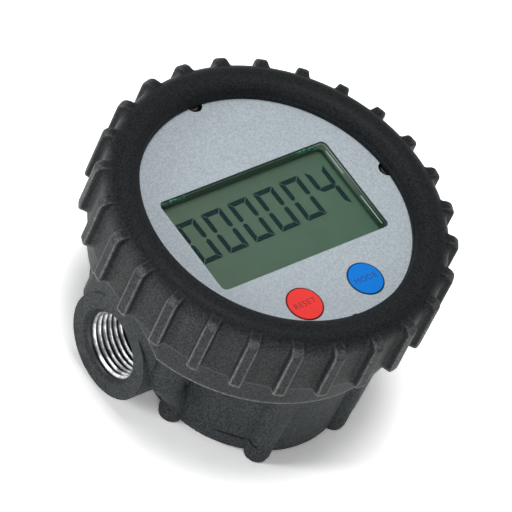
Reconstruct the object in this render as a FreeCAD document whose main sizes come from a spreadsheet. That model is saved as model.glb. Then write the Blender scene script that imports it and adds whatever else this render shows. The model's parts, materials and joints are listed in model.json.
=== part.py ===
import FreeCAD, Part
import math
import os

import Sketcher
from FreeCAD import Placement, Rotation, Vector

# Electronic oil meter in millimetres: +Z up, origin on the floor below the middle of the round
# register. The ports lie along X and the two measuring gears stand side by side along Y.
# The meter stands on the heads of the screws that hold its bottom cap.

SIZES = [
    ("rib_count", 26, "grip ribs round the guard ring"),
    ("rib_angle", 59.6, "degrees from +X to the first rib"),
    ("rib_height", 2.5, "ribs stand out from the ring's wall"),
    ("rib_foot_width", 4.4, "rib width at the ring's wall"),
    ("rib_tip_width", 3.2, "rib width at its outer face"),
    ("rib_drop", 14.5, "label down to the ribs' flat lower ends"),
    ("rib_rise", 4.4, "ribs' shoulders above the label"),
    ("rib_rounding", 1.6, "rounding of the ribs' outer shoulders"),
    ("ring_wall", 4.4, "ring's wall between the ribs"),
    ("ring_band_step", 1.8, "set back of the plain band below the ribs"),
    ("ring_skirt_wall", 1.4, "ring's wall at its lower edge"),
    ("ring_edge", 0.5, "small roundings of the ring's edges"),
    ("ring_crest_height", 5.7, "crest above the label"),
    ("ring_shoulder", 5.2, "rounding outside the crest"),
    ("ring_crest_width", 0.8, "flat of the crest"),
    ("ring_slope", 5.2, "rounding from the crest down to the lip"),
    ("ring_lip_cover", 1.3, "ring's lip over the label's edge"),
    ("ring_lip_edge", 1.9, "height of the lip's inner edge"),
    ("ring_skirt_drop", 25.5, "label down to the ring's lower edge"),
    ("ring_play", 0.1, "stretch gap between ring and register"),
    ("ring_port_arch", 20.9, "radius of the arch in the ring over each port"),
    ("register_radius", 45.5, "outside of register, cover and body flange"),
    ("register_wall", 2.4, "side wall of the register cup"),
    ("rim_height", 3.8, "body's rim round the register's foot"),
    ("rim_wall", 2.0, "thickness of that rim"),
    ("rim_play", 0.1, "gap between that rim and the register's foot"),
    ("foot_wall", 2.2, "side wall of the register's foot"),
    ("register_floor", 2.0, "floor of the register cup"),
    ("register_depth", 18.3, "register cup from bottom to rim"),
    ("cover_thickness", 3.4, "register cover"),
    ("cover_gasket_thickness", 0.5, "flat gasket below the cover"),
    ("cover_gasket_width", 2.0, "flat gasket below the cover"),
    ("cover_gasket_play", 0.2, "room beside that gasket"),
    ("label_thickness", 0.3, "face overlay"),
    ("label_margin", 4.5, "label's edge inside the register's outside"),
    ("window_side", 11.25, "label beside the display opening"),
    ("window_width", 32.4, "display opening along Y"),
    ("window_corner", 1.8, "corner rounding of the display opening"),
    ("window_x", -0.7, "middle of the display opening"),
    ("window_y", -0.65, "middle of the display opening"),
    ("window_ledge", 1.3, "pane's flange round the opening"),
    ("window_flange", 1.4, "thickness of that flange"),
    ("window_sink", 0.3, "pane's face below the label"),
    ("pane_play", 0.1, "gap round the pane"),
    ("key_radius", 5.45, "both keys"),
    ("key_play", 0.1, "gap round a key"),
    ("key_flange", 0.8, "thickness and reach of the flange that holds a key in"),
    ("key_travel", 0.4, "how far a key goes down"),
    ("key_proud", 0.15, "key's face above the label"),
    ("key_stem", 0.5, "key's boss above its switch"),
    ("reset_x", -11.3, "red key"),
    ("reset_y", -29.5, "red key"),
    ("total_x", 10.6, "blue key"),
    ("total_y", -29.3, "blue key"),
    ("screw_inset", 4.1, "register screws inside the register's outside"),
    ("screw_column", 3.9, "radius of the columns round those screws"),
    ("screw_radius", 1.25, "register screws' shanks"),
    ("screw_head_radius", 2.25, "register screws' heads"),
    ("screw_head_height", 1.7, "register screws' heads"),
    ("screw_sink", 2.2, "depth of their recesses in the cover"),
    ("screw_recess", 2.5, "radius of their recesses"),
    ("screw_bite", 6.0, "register screws' length in the body"),
    ("board_gap", 8.7, "circuit board's edge inside the register's outside"),
    ("board_thickness", 1.6, "circuit board"),
    ("board_height", 13.0, "board's underside above the register's bottom"),
    ("post_x", 22.4, "board posts from the middle"),
    ("post_y", 24.8, "board posts from the middle"),
    ("post_radius", 2.5, "board posts"),
    ("board_screw_radius", 1.0, "board screws' shanks"),
    ("board_screw_head", 1.9, "radius of board screws' heads"),
    ("display_margin", 1.3, "display glass beyond the opening on each side"),
    ("display_thickness", 2.6, "display glass"),
    ("display_lift", 0.7, "contact strips between board and display"),
    ("frame_wall", 1.5, "wall of the display frame"),
    ("strip_width", 1.6, "contact strips"),
    ("cell_radius", 5.25, "battery cells"),
    ("cell_length", 44.5, "battery cells with their tips"),
    ("cell_tip", 0.8, "height of a cell's tip"),
    ("cell_tip_radius", 1.9, "cell's tip"),
    ("cell_gap", 0.4, "gap between the cells"),
    ("holder_wall", 1.2, "battery holder"),
    ("holder_height", 8.0, "battery holder"),
    ("spring_room", 2.2, "room for a contact spring"),
    ("contact_plate", 0.4, "battery contact sheet"),
    ("flange_thickness", 3.0, "body's round top flange"),
    ("body_height", 27.5, "body from the cap to its top"),
    ("body_wall", 13.5, "casting round the gear chambers"),
    ("body_offset", 12.5, "middle of those ends from the meter's middle"),
    ("body_draft", 1.0, "degrees of draft on the body's walls"),
    ("port_rise", 15.7, "port axis above the cap's underside"),
    ("port_set_back", 0.6, "port mouths inside the register's outside"),
    ("port_collar", 15.7, "radius of the port's face"),
    ("port_barrel", 15.25, "radius of the barrel behind it"),
    ("port_collar_length", 8.0, "collar that stands out of the round flange"),
    ("port_bore", 9.3155, "thread's inner radius, G 1/2"),
    ("port_mouth", 11.17, "chamfered mouth"),
    ("port_depth", 16.0, "threaded length"),
    ("port_passage", 5.5, "passage from the port to the gears"),
    ("gear_module", 2.0, "both measuring gears"),
    ("gear_teeth", 15, "both measuring gears"),
    ("gear_backlash", 0.16, "backlash at the pitch circle"),
    ("chamber_depth", 17.0, "gear chamber"),
    ("gear_play", 0.1, "gap round the gears"),
    ("pin_radius", 3.0, "fixed pins of the gears"),
    ("pin_seat", 3.0, "pins' length in the cap"),
    ("pin_roof", 4.0, "pins' length in the body"),
    ("pin_play", 0.05, "running gap between pin and bush"),
    ("bush_wall", 1.5, "gear bushes"),
    ("magnet_radius", 2.0, "magnets in the drive gear"),
    ("magnet_depth", 3.0, "magnets in the drive gear"),
    ("magnet_circle", 9.0, "magnets' distance from the gear's axis"),
    ("cap_thickness", 5.1, "bottom cap"),
    ("boss_drop", 0.2, "bosses reach this far below the cap"),
    ("boss_foot", 3.9, "bosses' radius at the foot"),
    ("boss_root", 5.0, "end bosses' radius below the flange"),
    ("side_boss_inset", 1.6, "side bosses' axis inside the body's flat sides"),
    ("side_boss_run", 5.1, "side bosses past the middle of the rounded ends"),
    ("end_boss_x", 13.9, "bosses at the body's ends"),
    ("end_boss_inset", 4.0, "end bosses' axis inside the body's ends"),
    ("gusset_radius", 6.4, "side bosses' radius at the port's height"),
    ("gusset_lean", 6.6, "side bosses lean out this far below the port"),
    ("gusset_tuck", 3.0, "and in this far under the barrel"),
    ("cap_screw_radius", 2.0, "cap screws"),
    ("cap_screw_play", 0.2, "gap round the cap screws in the cap"),
    ("cap_screw_bite", 11.0, "cap screws' length in the body"),
    ("cap_head_radius", 3.6, "cap screws' heads"),
    ("cap_head_height", 1.4, "cap screws' heads, on which the meter stands"),
    ("socket_size", 1.6, "inner radius of the screws' hexagon sockets"),
    ("slit_height", 0.8, "pry slit between body and cap"),
    ("slit_depth", 1.2, "pry slit"),
    ("slit_length", 16.0, "pry slit"),
    ("seal_cord", 1.8, "chamber seal's square section"),
    ("seal_gap", 4.3, "chamber seal's middle outside the gear chambers"),
    ("ring_seal_cord", 1.6, "register seal's square section"),
    ("ring_seal_radius", 34.0, "middle of the register seal"),
    ("seal_room", 0.3, "grooves are this much wider than the seals"),
    ("well_radius", 5.0, "sensor well below the register's floor"),
    ("well_depth", 5.6, "sensor well"),
    ("well_wall", 1.2, "sensor well"),
    ("well_play", 0.3, "gap round the sensor well"),
    ("sensor_width", 4.2, "pulse sensor"),
    ("sensor_height", 3.4, "pulse sensor"),
    ("sensor_depth", 2.0, "pulse sensor"),
    ("lead_size", 0.5, "sensor's leads"),
    ("lead_pitch", 1.27, "sensor's leads"),
    ("switch_size", 6.0, "key switches"),
    ("switch_height", 1.3, "key switches' cases"),
    ("switch_knob", 1.7, "radius of the switches' knobs"),
]

doc = FreeCAD.newDocument("oil_meter")
sheet = doc.addObject("Spreadsheet::Sheet", "Sizes")
for row, (alias, value, note) in enumerate(SIZES, start=1):
    sheet.set(f"A{row}", note)
    sheet.set(f"B{row}", str(value))
    sheet.setAlias(f"B{row}", alias)
doc.recompute()


class Size:
    """A number worked out from the sheet, with the expression that gives it."""

    def __init__(self, value, text):
        self.value = value
        self.text = text

    def _joined(self, sign, value, left, right):
        return Size(value, f"({left.text} {sign} {right.text})")

    def __add__(self, other):
        other = as_size(other)
        return self._joined("+", self.value + other.value, self, other)

    def __sub__(self, other):
        other = as_size(other)
        return self._joined("-", self.value - other.value, self, other)

    def __mul__(self, other):
        other = as_size(other)
        return self._joined("*", self.value * other.value, self, other)

    def __truediv__(self, other):
        other = as_size(other)
        return self._joined("/", self.value / other.value, self, other)

    def __neg__(self):
        return as_size(-1) * self

    def __float__(self):
        return float(self.value)


def as_size(item):
    """A Size stays as it is, and a plain number becomes one."""
    return item if isinstance(item, Size) else Size(item, f"({item})")


class Sheet:
    """Each alias of the sheet as a Size, so that sums read like plain arithmetic."""

    def __init__(self, rows):
        for alias, value, _ in rows:
            setattr(self, alias, Size(value, f"Sizes.{alias}"))


s = Sheet(SIZES)

# Heights, stacked from the floor up
boss_bottom = s.cap_head_height
cap_bottom = boss_bottom + s.boss_drop
cap_top = cap_bottom + s.cap_thickness
chamber_top = cap_top + s.chamber_depth
body_top = cap_top + s.body_height
flange_bottom = body_top - s.flange_thickness
floor_top = body_top + s.register_floor
board_bottom = body_top + s.board_height
board_top = board_bottom + s.board_thickness
cover_bottom = body_top + s.register_depth
cover_top = cover_bottom + s.cover_thickness
label_top = cover_top + s.label_thickness
display_bottom = board_top + s.display_lift
display_top = display_bottom + s.display_thickness
rim_top = body_top + s.rim_height
port_height = cap_bottom + s.port_rise
ring_bottom = label_top - s.ring_skirt_drop
rib_bottom = label_top - s.rib_drop

# Radii and distances from the meter's middle, worked out from the driving ones
gear_offset = s.gear_module * s.gear_teeth / 2
chamber_radius = gear_offset + s.gear_module + s.gear_play
body_radius = chamber_radius + s.body_wall
seal_radius = chamber_radius + s.seal_gap
port_reach = s.register_radius - s.port_set_back
foot_radius = s.register_radius - s.rim_wall - s.rim_play
screw_circle = s.register_radius - s.screw_inset
board_radius = s.register_radius - s.board_gap
label_radius = s.register_radius - s.label_margin
window_length = (label_radius - s.window_side) * 2
display_length = window_length + s.display_margin * 2
display_width = s.window_width + s.display_margin * 2
ring_bore = s.register_radius + s.ring_play
ring_radius = ring_bore + s.ring_wall
rib_reach = ring_radius + s.rib_height


def bind(item, **paths):
    """Tie properties to sizes: a double underscore in a name stands for a point in its path."""
    for name, size in paths.items():
        item.setExpression(name.replace("__", "."), as_size(size).text)
    return item


def place(item, x=0, y=0, z=0):
    """Tie an object's place to sizes."""
    return bind(item, Placement__Base__x=x, Placement__Base__y=y, Placement__Base__z=z)


def cylinder(name, radius, bottom, top, x=0, y=0):
    """Upright cylinder between two heights."""
    item = doc.addObject("Part::Cylinder", name)
    bind(item, Radius=radius, Height=as_size(top) - bottom)
    return place(item, x, y, bottom)


def cone(name, low_radius, high_radius, bottom, top, x=0, y=0):
    """Upright cone between two heights."""
    item = doc.addObject("Part::Cone", name)
    bind(item, Radius1=low_radius, Radius2=high_radius, Height=as_size(top) - bottom)
    return place(item, x, y, bottom)


def lying(name, radius, start, end, side, height, end_radius=None):
    """Cylinder or cone along X on the side given by +1 or -1, start and end from the middle."""
    kind = "Part::Cylinder" if end_radius is None else "Part::Cone"
    item = doc.addObject(kind, name)
    if end_radius is None:
        bind(item, Radius=radius)
    else:
        bind(item, Radius1=radius, Radius2=end_radius)
    bind(item, Height=as_size(end) - start)
    item.Placement = Placement(Vector(), Rotation(Vector(0, 1, 0), 90 * side))
    return place(item, as_size(start) * side, 0, height)


def box(name, length, width, bottom, top, x=0, y=0):
    """Upright block about the point x, y."""
    item = doc.addObject("Part::Box", name)
    length = as_size(length)
    width = as_size(width)
    bind(item, Length=length, Width=width, Height=as_size(top) - bottom)
    return place(item, as_size(x) - length / 2, as_size(y) - width / 2, bottom)


def joined(kind, name, shapes):
    """Union or common solid of several objects."""
    item = doc.addObject(kind, name)
    item.Shapes = shapes
    return item


def fuse(name, *shapes):
    return joined("Part::MultiFuse", name, list(shapes))


def compound(name, shapes):
    """Group of separate solids that make one sub-part."""
    item = doc.addObject("Part::Compound", name)
    item.Links = shapes
    return item


def cut(name, base, *tools):
    """The base less all tools."""
    item = doc.addObject("Part::Cut", name)
    item.Base = base
    item.Tool = tools[0] if len(tools) == 1 else fuse(name + "_tools", *tools)
    return item


def origin_plane(body, role):
    """One of a body's own origin planes."""
    return next(item for item in body.Origin.OriginFeatures if item.Role == role)


def new_body(name):
    return doc.addObject("PartDesign::Body", name)


def new_sketch(body, role, name, height=None):
    """Sketch on an origin plane, lifted to a height where one is given."""
    sketch = body.newObject("Sketcher::SketchObject", name)
    sketch.AttachmentSupport = (origin_plane(body, role), [""])
    sketch.MapMode = "FlatFace"
    if height is not None:
        bind(sketch, AttachmentOffset__Base__z=height)
    return sketch


def hold_point(sketch, geometry, point, x, y):
    """Tie one point of a sketch to two sizes."""
    for kind, size in (("DistanceX", as_size(x)), ("DistanceY", as_size(y))):
        number = sketch.addConstraint(Sketcher.Constraint(kind, geometry, point, size.value))
        sketch.setExpression(f"Constraints[{number}]", size.text)


def add_circle(sketch, x, y, radius):
    """Circle with its middle and radius tied to sizes."""
    middle = Vector(float(as_size(x)), float(as_size(y)), 0)
    circle = Part.Circle(middle, Vector(0, 0, 1), float(as_size(radius)))
    number = sketch.addGeometry(circle, False)
    hold_point(sketch, number, 3, x, y)
    held = sketch.addConstraint(Sketcher.Constraint("Radius", number, float(as_size(radius))))
    sketch.setExpression(f"Constraints[{held}]", as_size(radius).text)


def arc_between(start, end, radius):
    """Arc of the given radius: a positive one turns left on its way, a negative one right."""
    chord = end - start
    middle = (start + end) * 0.5
    rise = math.sqrt(max(radius * radius - chord.Length ** 2 / 4, 0.0))
    left = Vector(-chord.y, chord.x, 0).normalize()
    centre = middle + left * (rise if radius > 0 else -rise)
    circle = Part.Circle(centre, Vector(0, 0, 1), abs(radius))
    first, last = (start, end) if radius > 0 else (end, start)
    return Part.ArcOfCircle(circle, circle.parameter(first), circle.parameter(last))


def add_outline(sketch, corners):
    """Closed outline of corners (x, y), with the radius of the arc that leads on as a third."""
    points = [Vector(float(as_size(c[0])), float(as_size(c[1])), 0) for c in corners]
    ends = []
    for place_now, corner in enumerate(corners):
        start = points[place_now]
        end = points[(place_now + 1) % len(corners)]
        if len(corner) == 2:
            number = sketch.addGeometry(Part.LineSegment(start, end), False)
            ends.append((number, 1, 2))
        else:
            radius = as_size(corner[2])
            number = sketch.addGeometry(arc_between(start, end, radius.value), False)
            ends.append((number, 1, 2) if radius.value > 0 else (number, 2, 1))
    for place_now, corner in enumerate(corners):
        number, first, last = ends[place_now]
        following, entry, _ = ends[(place_now + 1) % len(corners)]
        sketch.addConstraint(Sketcher.Constraint("Coincident", number, last, following, entry))
        hold_point(sketch, number, first, corner[0], corner[1])
        if len(corner) == 3:
            radius = as_size(corner[2])
            size = radius if radius.value > 0 else -radius
            held = sketch.addConstraint(Sketcher.Constraint("Radius", number, size.value))
            sketch.setExpression(f"Constraints[{held}]", size.text)
    return sketch


def feature(body, kind, name, sketch, **paths):
    """Feature of a body made from a sketch."""
    item = body.newObject("PartDesign::" + kind, name)
    item.Profile = sketch
    bind(item, **paths)
    return item


def pad(body, name, sketch, length):
    return feature(body, "Pad", name, sketch, Length=length)


def pocket(body, name, sketch, length):
    """Pocket that goes up from its sketch."""
    item = feature(body, "Pocket", name, sketch, Length=length)
    item.Reversed = True
    return item


def turned(body, name, corners, kind="Revolution"):
    """Turn a half section of radii and heights round the Z axis."""
    sketch = new_sketch(body, "XZ_Plane", name + "_section")
    add_outline(sketch, corners)
    item = feature(body, kind, name, sketch)
    item.ReferenceAxis = (sketch, ["V_Axis"])
    item.Angle = 360
    return item


def disc_section(inner, outer, bottom, top):
    """Corners of a rectangular half section."""
    return [(inner, bottom), (outer, bottom), (outer, top), (inner, top)]


def round_rectangle(sketch, length, width, corner, x, y):
    """Rectangle with rounded corners about the point x, y."""
    right = as_size(x) + as_size(length) / 2
    left = as_size(x) - as_size(length) / 2
    back = as_size(y) + as_size(width) / 2
    front = as_size(y) - as_size(width) / 2
    corner = as_size(corner)
    return add_outline(sketch, [
        (left + corner, front), (right - corner, front, corner),
        (right, front + corner), (right, back - corner, corner),
        (right - corner, back), (left + corner, back, corner),
        (left, back - corner), (left, front + corner, corner)])


def obround(sketch, radius, offset):
    """Outline of two half circles about (0, -offset) and (0, offset) with straight sides."""
    radius = as_size(radius)
    offset = as_size(offset)
    for side, first, last in ((1, 0.0, math.pi), (-1, math.pi, 2 * math.pi)):
        circle = Part.Circle(Vector(0, side * offset.value, 0), Vector(0, 0, 1), radius.value)
        sketch.addGeometry(Part.ArcOfCircle(circle, first, last), False)
    for side in (1, -1):
        low = Vector(side * radius.value, -offset.value, 0)
        high = Vector(side * radius.value, offset.value, 0)
        line = sketch.addGeometry(Part.LineSegment(low, high), False)
        hold_point(sketch, line, 1, radius * side, -offset)
        hold_point(sketch, line, 2, radius * side, offset)
    back_arc, front_arc, right_line, left_line = range(4)
    sketch.addConstraint(Sketcher.Constraint("Tangent", back_arc, 1, right_line, 2))
    sketch.addConstraint(Sketcher.Constraint("Coincident", back_arc, 2, left_line, 2))
    sketch.addConstraint(Sketcher.Constraint("Tangent", front_arc, 1, left_line, 1))
    sketch.addConstraint(Sketcher.Constraint("Coincident", front_arc, 2, right_line, 1))
    return sketch


def quarter_turns(distance):
    """Four places on the X and Y axes."""
    return [(distance, 0), (0, distance), (-distance, 0), (0, -distance)]


def four_corners(x, y):
    """The four places (x, y) with either sign."""
    return [(x, y), (-x, y), (-x, -y), (x, -y)]


side_bosses = four_corners(body_radius - s.side_boss_inset, s.body_offset + s.side_boss_run)
end_bosses = four_corners(s.end_boss_x, s.body_offset + body_radius - s.end_boss_inset)
boss_places = side_bosses + end_bosses
key_places = {"reset_button": (s.reset_x, s.reset_y), "total_button": (s.total_x, s.total_y)}


def make_guard_ring():
    """Soft boot: a turned wall with a rolled crest over the label and ribs moulded round it."""
    body = new_body("ring_moulding")
    crest = label_top + s.ring_crest_height
    under = label_top + s.ring_play
    lip = label_radius - s.ring_lip_cover
    lip_edge = label_top + s.ring_lip_edge
    shoulder = ring_radius - s.ring_shoulder
    edge = s.ring_edge
    turned(body, "ring_wall", [
        (ring_bore, ring_bottom), (ring_bore + s.ring_skirt_wall - edge, ring_bottom, edge),
        (ring_bore + s.ring_skirt_wall, ring_bottom + edge),
        (ring_radius - s.ring_band_step, rib_bottom), (ring_radius - edge, rib_bottom, edge),
        (ring_radius, rib_bottom + edge), (ring_radius, crest - s.ring_shoulder, s.ring_shoulder),
        (shoulder, crest), (shoulder - s.ring_crest_width, crest, s.ring_slope),
        (lip + edge, lip_edge), (lip, lip_edge - edge), (lip, under), (ring_bore, under)])
    sketch = new_sketch(body, "XY_Plane", "rib_section", rib_bottom)
    root = ring_radius - s.rib_height
    spread = s.rib_foot_width - s.rib_tip_width / 2
    add_outline(sketch, [
        (root, -spread), (rib_reach, -s.rib_tip_width / 2),
        (rib_reach, s.rib_tip_width / 2), (root, spread)])
    bind(sketch, AttachmentOffset__Rotation__Angle=s.rib_angle)
    rib = pad(body, "rib", sketch, s.rib_drop + s.rib_rise)
    doc.recompute()
    top = (label_top + s.rib_rise).value
    names = []
    for number, item in enumerate(rib.Shape.Edges, start=1):
        middle = item.CenterOfMass
        if abs(middle.z - top) < 1e-4 and math.hypot(middle.x, middle.y) > rib_reach.value - 0.01:
            names.append(f"Edge{number}")
    rounding = body.newObject("PartDesign::Fillet", "rib_rounding")
    rounding.Base = (rib, names)
    bind(rounding, Radius=s.rib_rounding)
    ribs = body.newObject("PartDesign::PolarPattern", "ribs")
    ribs.Originals = [rib, rounding]
    ribs.Axis = (sketch, ["N_Axis"])
    ribs.Angle = 360
    bind(ribs, Occurrences=s.rib_count)
    body.Tip = ribs
    doc.recompute()
    arches = [lying(f"ring_arch_{side}", s.ring_port_arch, 0, rib_reach + 2, side, port_height)
              for side in (1, -1)]
    return cut("guard_ring", body, *arches)


def make_face_label():
    """Thin round overlay with openings for the pane and keys and a notch for each screw."""
    body = new_body("face_label")
    sketch = new_sketch(body, "XY_Plane", "label_outline", cover_top)
    add_circle(sketch, 0, 0, label_radius)
    pad(body, "label_sheet", sketch, s.label_thickness)
    sketch = new_sketch(body, "XY_Plane", "label_window", cover_top)
    round_rectangle(sketch, window_length, s.window_width, s.window_corner, s.window_x, s.window_y)
    for x, y in key_places.values():
        add_circle(sketch, x, y, s.key_radius + s.key_play)
    pocket(body, "label_openings", sketch, s.label_thickness)
    sketch = new_sketch(body, "XY_Plane", "label_notch_circles", cover_top)
    for x, y in quarter_turns(screw_circle):
        add_circle(sketch, x, y, s.screw_recess)
    notches = pocket(body, "label_notches", sketch, s.label_thickness)
    body.Tip = notches
    return body


def make_register_cover():
    """Round lid with a rebated window opening, key holes and recesses for its screws."""
    body = new_body("register_cover")
    turned(body, "cover_disc", disc_section(0, s.register_radius, cover_bottom, cover_top))
    sketch = new_sketch(body, "XY_Plane", "cover_window", cover_bottom)
    round_rectangle(sketch, window_length, s.window_width, s.window_corner, s.window_x, s.window_y)
    for x, y in key_places.values():
        add_circle(sketch, x, y, s.key_radius + s.key_play)
    for x, y in quarter_turns(screw_circle):
        add_circle(sketch, x, y, s.screw_radius + s.key_play)
    pocket(body, "cover_openings", sketch, s.cover_thickness)
    sketch = new_sketch(body, "XY_Plane", "cover_rebate", cover_bottom)
    ledge = s.window_ledge + s.pane_play
    round_rectangle(sketch, window_length + ledge * 2, s.window_width + ledge * 2,
                    s.window_corner + ledge, s.window_x, s.window_y)
    pocket(body, "cover_ledge", sketch, s.window_flange)
    sketch = new_sketch(body, "XY_Plane", "cover_recesses", cover_top - s.screw_sink)
    for x, y in quarter_turns(screw_circle):
        add_circle(sketch, x, y, s.screw_recess)
    recesses = pocket(body, "cover_screw_recesses", sketch, s.screw_sink)
    body.Tip = recesses
    return body


def make_lcd_window():
    """Clear pane with a flange that sits in the cover's rebate from below."""
    body = new_body("lcd_window")
    sketch = new_sketch(body, "XY_Plane", "pane_flange", cover_bottom)
    ledge = s.window_ledge
    round_rectangle(sketch, window_length + ledge * 2, s.window_width + ledge * 2,
                    s.window_corner + ledge, s.window_x, s.window_y)
    pad(body, "flange", sketch, s.window_flange)
    sketch = new_sketch(body, "XY_Plane", "pane_outline", cover_bottom)
    play = s.pane_play * 2
    round_rectangle(sketch, window_length - play, s.window_width - play,
                    s.window_corner - s.pane_play, s.window_x, s.window_y)
    body.Tip = pad(body, "pane", sketch, label_top - s.window_sink - cover_bottom)
    return body


def make_lcd_panel():
    """Display glass below the pane."""
    return box("lcd_panel", display_length, display_width, display_bottom, display_top,
               s.window_x, s.window_y)


def make_lcd_frame():
    """Frame on the board that holds the display glass."""
    walls = s.pane_play * 2 + s.frame_wall * 2
    outer = box("frame_outer", display_length + walls, display_width + walls,
                board_top, display_top, s.window_x, s.window_y)
    play = s.pane_play * 2
    inner = box("frame_inner", display_length + play, display_width + play,
                board_top - 1, display_top + 1, s.window_x, s.window_y)
    return cut("lcd_frame", outer, inner)


def make_contact_strips():
    """Two elastic strips that join the display to the board."""
    strips = []
    for side in (1, -1):
        y = s.window_y + (display_width / 2 - s.strip_width) * side
        strips.append(box(f"contact_strip_{side}", display_length * 0.8, s.strip_width,
                          board_top, display_bottom, s.window_x, y))
    return compound("contact_strips", strips)


def make_circuit_board():
    """Round board on the register's posts."""
    disc = cylinder("board_disc", board_radius, board_bottom, board_top)
    holes = [cylinder(f"board_hole_{number}", s.board_screw_radius, board_bottom - 1,
                      board_top + 1, x, y)
             for number, (x, y) in enumerate(four_corners(s.post_x, s.post_y))]
    leads = [box(f"board_lead_hole_{number}", s.lead_size, s.lead_size, board_bottom - 1,
                 board_top + 1, s.lead_pitch * number, sensor_y)
             for number in (-1, 0, 1)]
    return cut("circuit_board", disc, *holes, *leads)


def make_key_switches():
    """Two push switches on the board under the keys."""
    switches = []
    for name, (x, y) in key_places.items():
        case = box(name + "_case", s.switch_size, s.switch_size, board_top,
                   board_top + s.switch_height, x, y)
        knob = cylinder(name + "_knob", s.switch_knob, board_top + s.switch_height,
                        key_bottom - s.key_travel - s.key_play, x, y)
        switches.append(fuse(name + "_switch", case, knob))
    return compound("key_switches", switches)


def make_key(name):
    """Round key with a flange that the cover holds in, free to go down on its switch."""
    x, y = key_places[name]
    body = new_body(name)
    flange = s.key_radius + s.key_flange
    low = key_bottom + s.key_stem
    turned(body, name + "_cap", [
        (0, key_bottom), (s.switch_knob + 1, key_bottom), (s.switch_knob + 1, low),
        (flange, low), (flange, low + s.key_flange), (s.key_radius, low + s.key_flange),
        (s.key_radius, key_top - 0.3), (s.key_radius - 0.3, key_top), (0, key_top)])
    place(body, x, y, 0)
    return body


def screw(name, x, y, head_radius, head_low, head_high, shank_radius, shank_end, socket):
    """Round headed screw with a hexagon socket, above or below its shank."""
    up = float(as_size(shank_end)) < float(as_size(head_low))
    face = head_low if up else head_high
    head = cylinder(name + "_head", head_radius, head_low, head_high, x, y)
    low, high = (shank_end, face) if up else (face, shank_end)
    shank = cylinder(name + "_shank", shank_radius, low, high, x, y)
    hexagon = doc.addObject("Part::Prism", name + "_hexagon")
    hexagon.Polygon = 6
    depth = (as_size(head_high) - head_low) * 0.6
    bind(hexagon, Circumradius=socket, Height=depth)
    place(hexagon, x, y, as_size(head_high) - depth if up else head_low)
    return cut(name, fuse(name + "_solid", head, shank), hexagon)


def make_board_screws():
    """Four screws that hold the board on its posts."""
    return compound("board_screws", [
        screw(f"board_screw_{number}", x, y, s.board_screw_head, board_top,
              board_top + s.board_screw_radius, s.board_screw_radius,
              board_bottom - s.board_screw_radius * 5, s.board_screw_radius * 0.7)
        for number, (x, y) in enumerate(four_corners(s.post_x, s.post_y))])


def make_register_screws():
    """Four long screws through cover and register into the body's flange."""
    low = cover_top - s.screw_sink
    return compound("register_screws", [
        screw(f"register_screw_{number}", x, y, s.screw_head_radius, low,
              low + s.screw_head_height, s.screw_radius, body_top - s.screw_bite,
              s.screw_radius * 0.9)
        for number, (x, y) in enumerate(quarter_turns(screw_circle))])


def make_cap_screws():
    """Eight screws from below, whose heads are the meter's feet."""
    return compound("cap_screws", [
        screw(f"cap_screw_{number}", x, y, s.cap_head_radius, 0, s.cap_head_height,
              s.cap_screw_radius, cap_top + s.cap_screw_bite, s.socket_size)
        for number, (x, y) in enumerate(boss_places)])


def make_register_base():
    """Round cup with columns for the register screws, posts for the board and a sensor well."""
    body = new_body("register_base")
    inner = s.register_radius - s.register_wall
    foot_inner = foot_radius - s.foot_wall
    turned(body, "cup", [
        (0, body_top), (foot_radius, body_top), (foot_radius, rim_top),
        (s.register_radius, rim_top), (s.register_radius, cover_bottom), (inner, cover_bottom),
        (inner, rim_top + s.foot_wall), (foot_inner, rim_top + s.foot_wall),
        (foot_inner, floor_top), (0, floor_top)])
    sketch = new_sketch(body, "XY_Plane", "column_circles", body_top)
    for x, y in quarter_turns(screw_circle):
        add_circle(sketch, x, y, s.screw_column)
    pad(body, "columns", sketch, s.register_depth)
    sketch = new_sketch(body, "XY_Plane", "post_circles", body_top)
    for x, y in four_corners(s.post_x, s.post_y):
        add_circle(sketch, x, y, s.post_radius)
    pad(body, "posts", sketch, s.board_height)
    sketch = new_sketch(body, "XY_Plane", "well_circle", body_top - s.well_depth)
    add_circle(sketch, 0, sensor_y, s.well_radius)
    pad(body, "well", sketch, s.well_depth + s.register_floor)
    sketch = new_sketch(body, "XY_Plane", "well_bore_circle", well_floor)
    add_circle(sketch, 0, sensor_y, s.well_radius - s.well_wall)
    pocket(body, "well_bore", sketch, floor_top - well_floor)
    sketch = new_sketch(body, "XY_Plane", "column_bores", body_top)
    for x, y in quarter_turns(screw_circle):
        add_circle(sketch, x, y, s.screw_radius + s.key_play)
    pocket(body, "column_holes", sketch, s.register_depth)
    sketch = new_sketch(body, "XY_Plane", "post_bores", board_bottom - s.board_screw_radius * 5)
    for x, y in four_corners(s.post_x, s.post_y):
        add_circle(sketch, x, y, s.board_screw_radius)
    pocket(body, "post_holes", sketch, s.board_screw_radius * 5)
    outside = disc_section(foot_radius, s.register_radius + 1, body_top - 1, rim_top)
    turned(body, "foot_trim", outside, "Groove")
    seat = disc_section(gasket_inner - s.cover_gasket_play, s.register_radius + 1,
                        cover_bottom - s.cover_gasket_thickness, cover_bottom + 1)
    body.Tip = turned(body, "gasket_seat", seat, "Groove")
    return body


def make_cover_gasket():
    """Flat ring between cup and cover."""
    body = new_body("cover_gasket")
    body.Tip = turned(body, "gasket_ring", disc_section(
        gasket_inner, gasket_inner + s.cover_gasket_width,
        cover_bottom - s.cover_gasket_thickness, cover_bottom))
    return body


def cell_place(side):
    return (s.cell_radius + s.cell_gap / 2) * side


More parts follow.
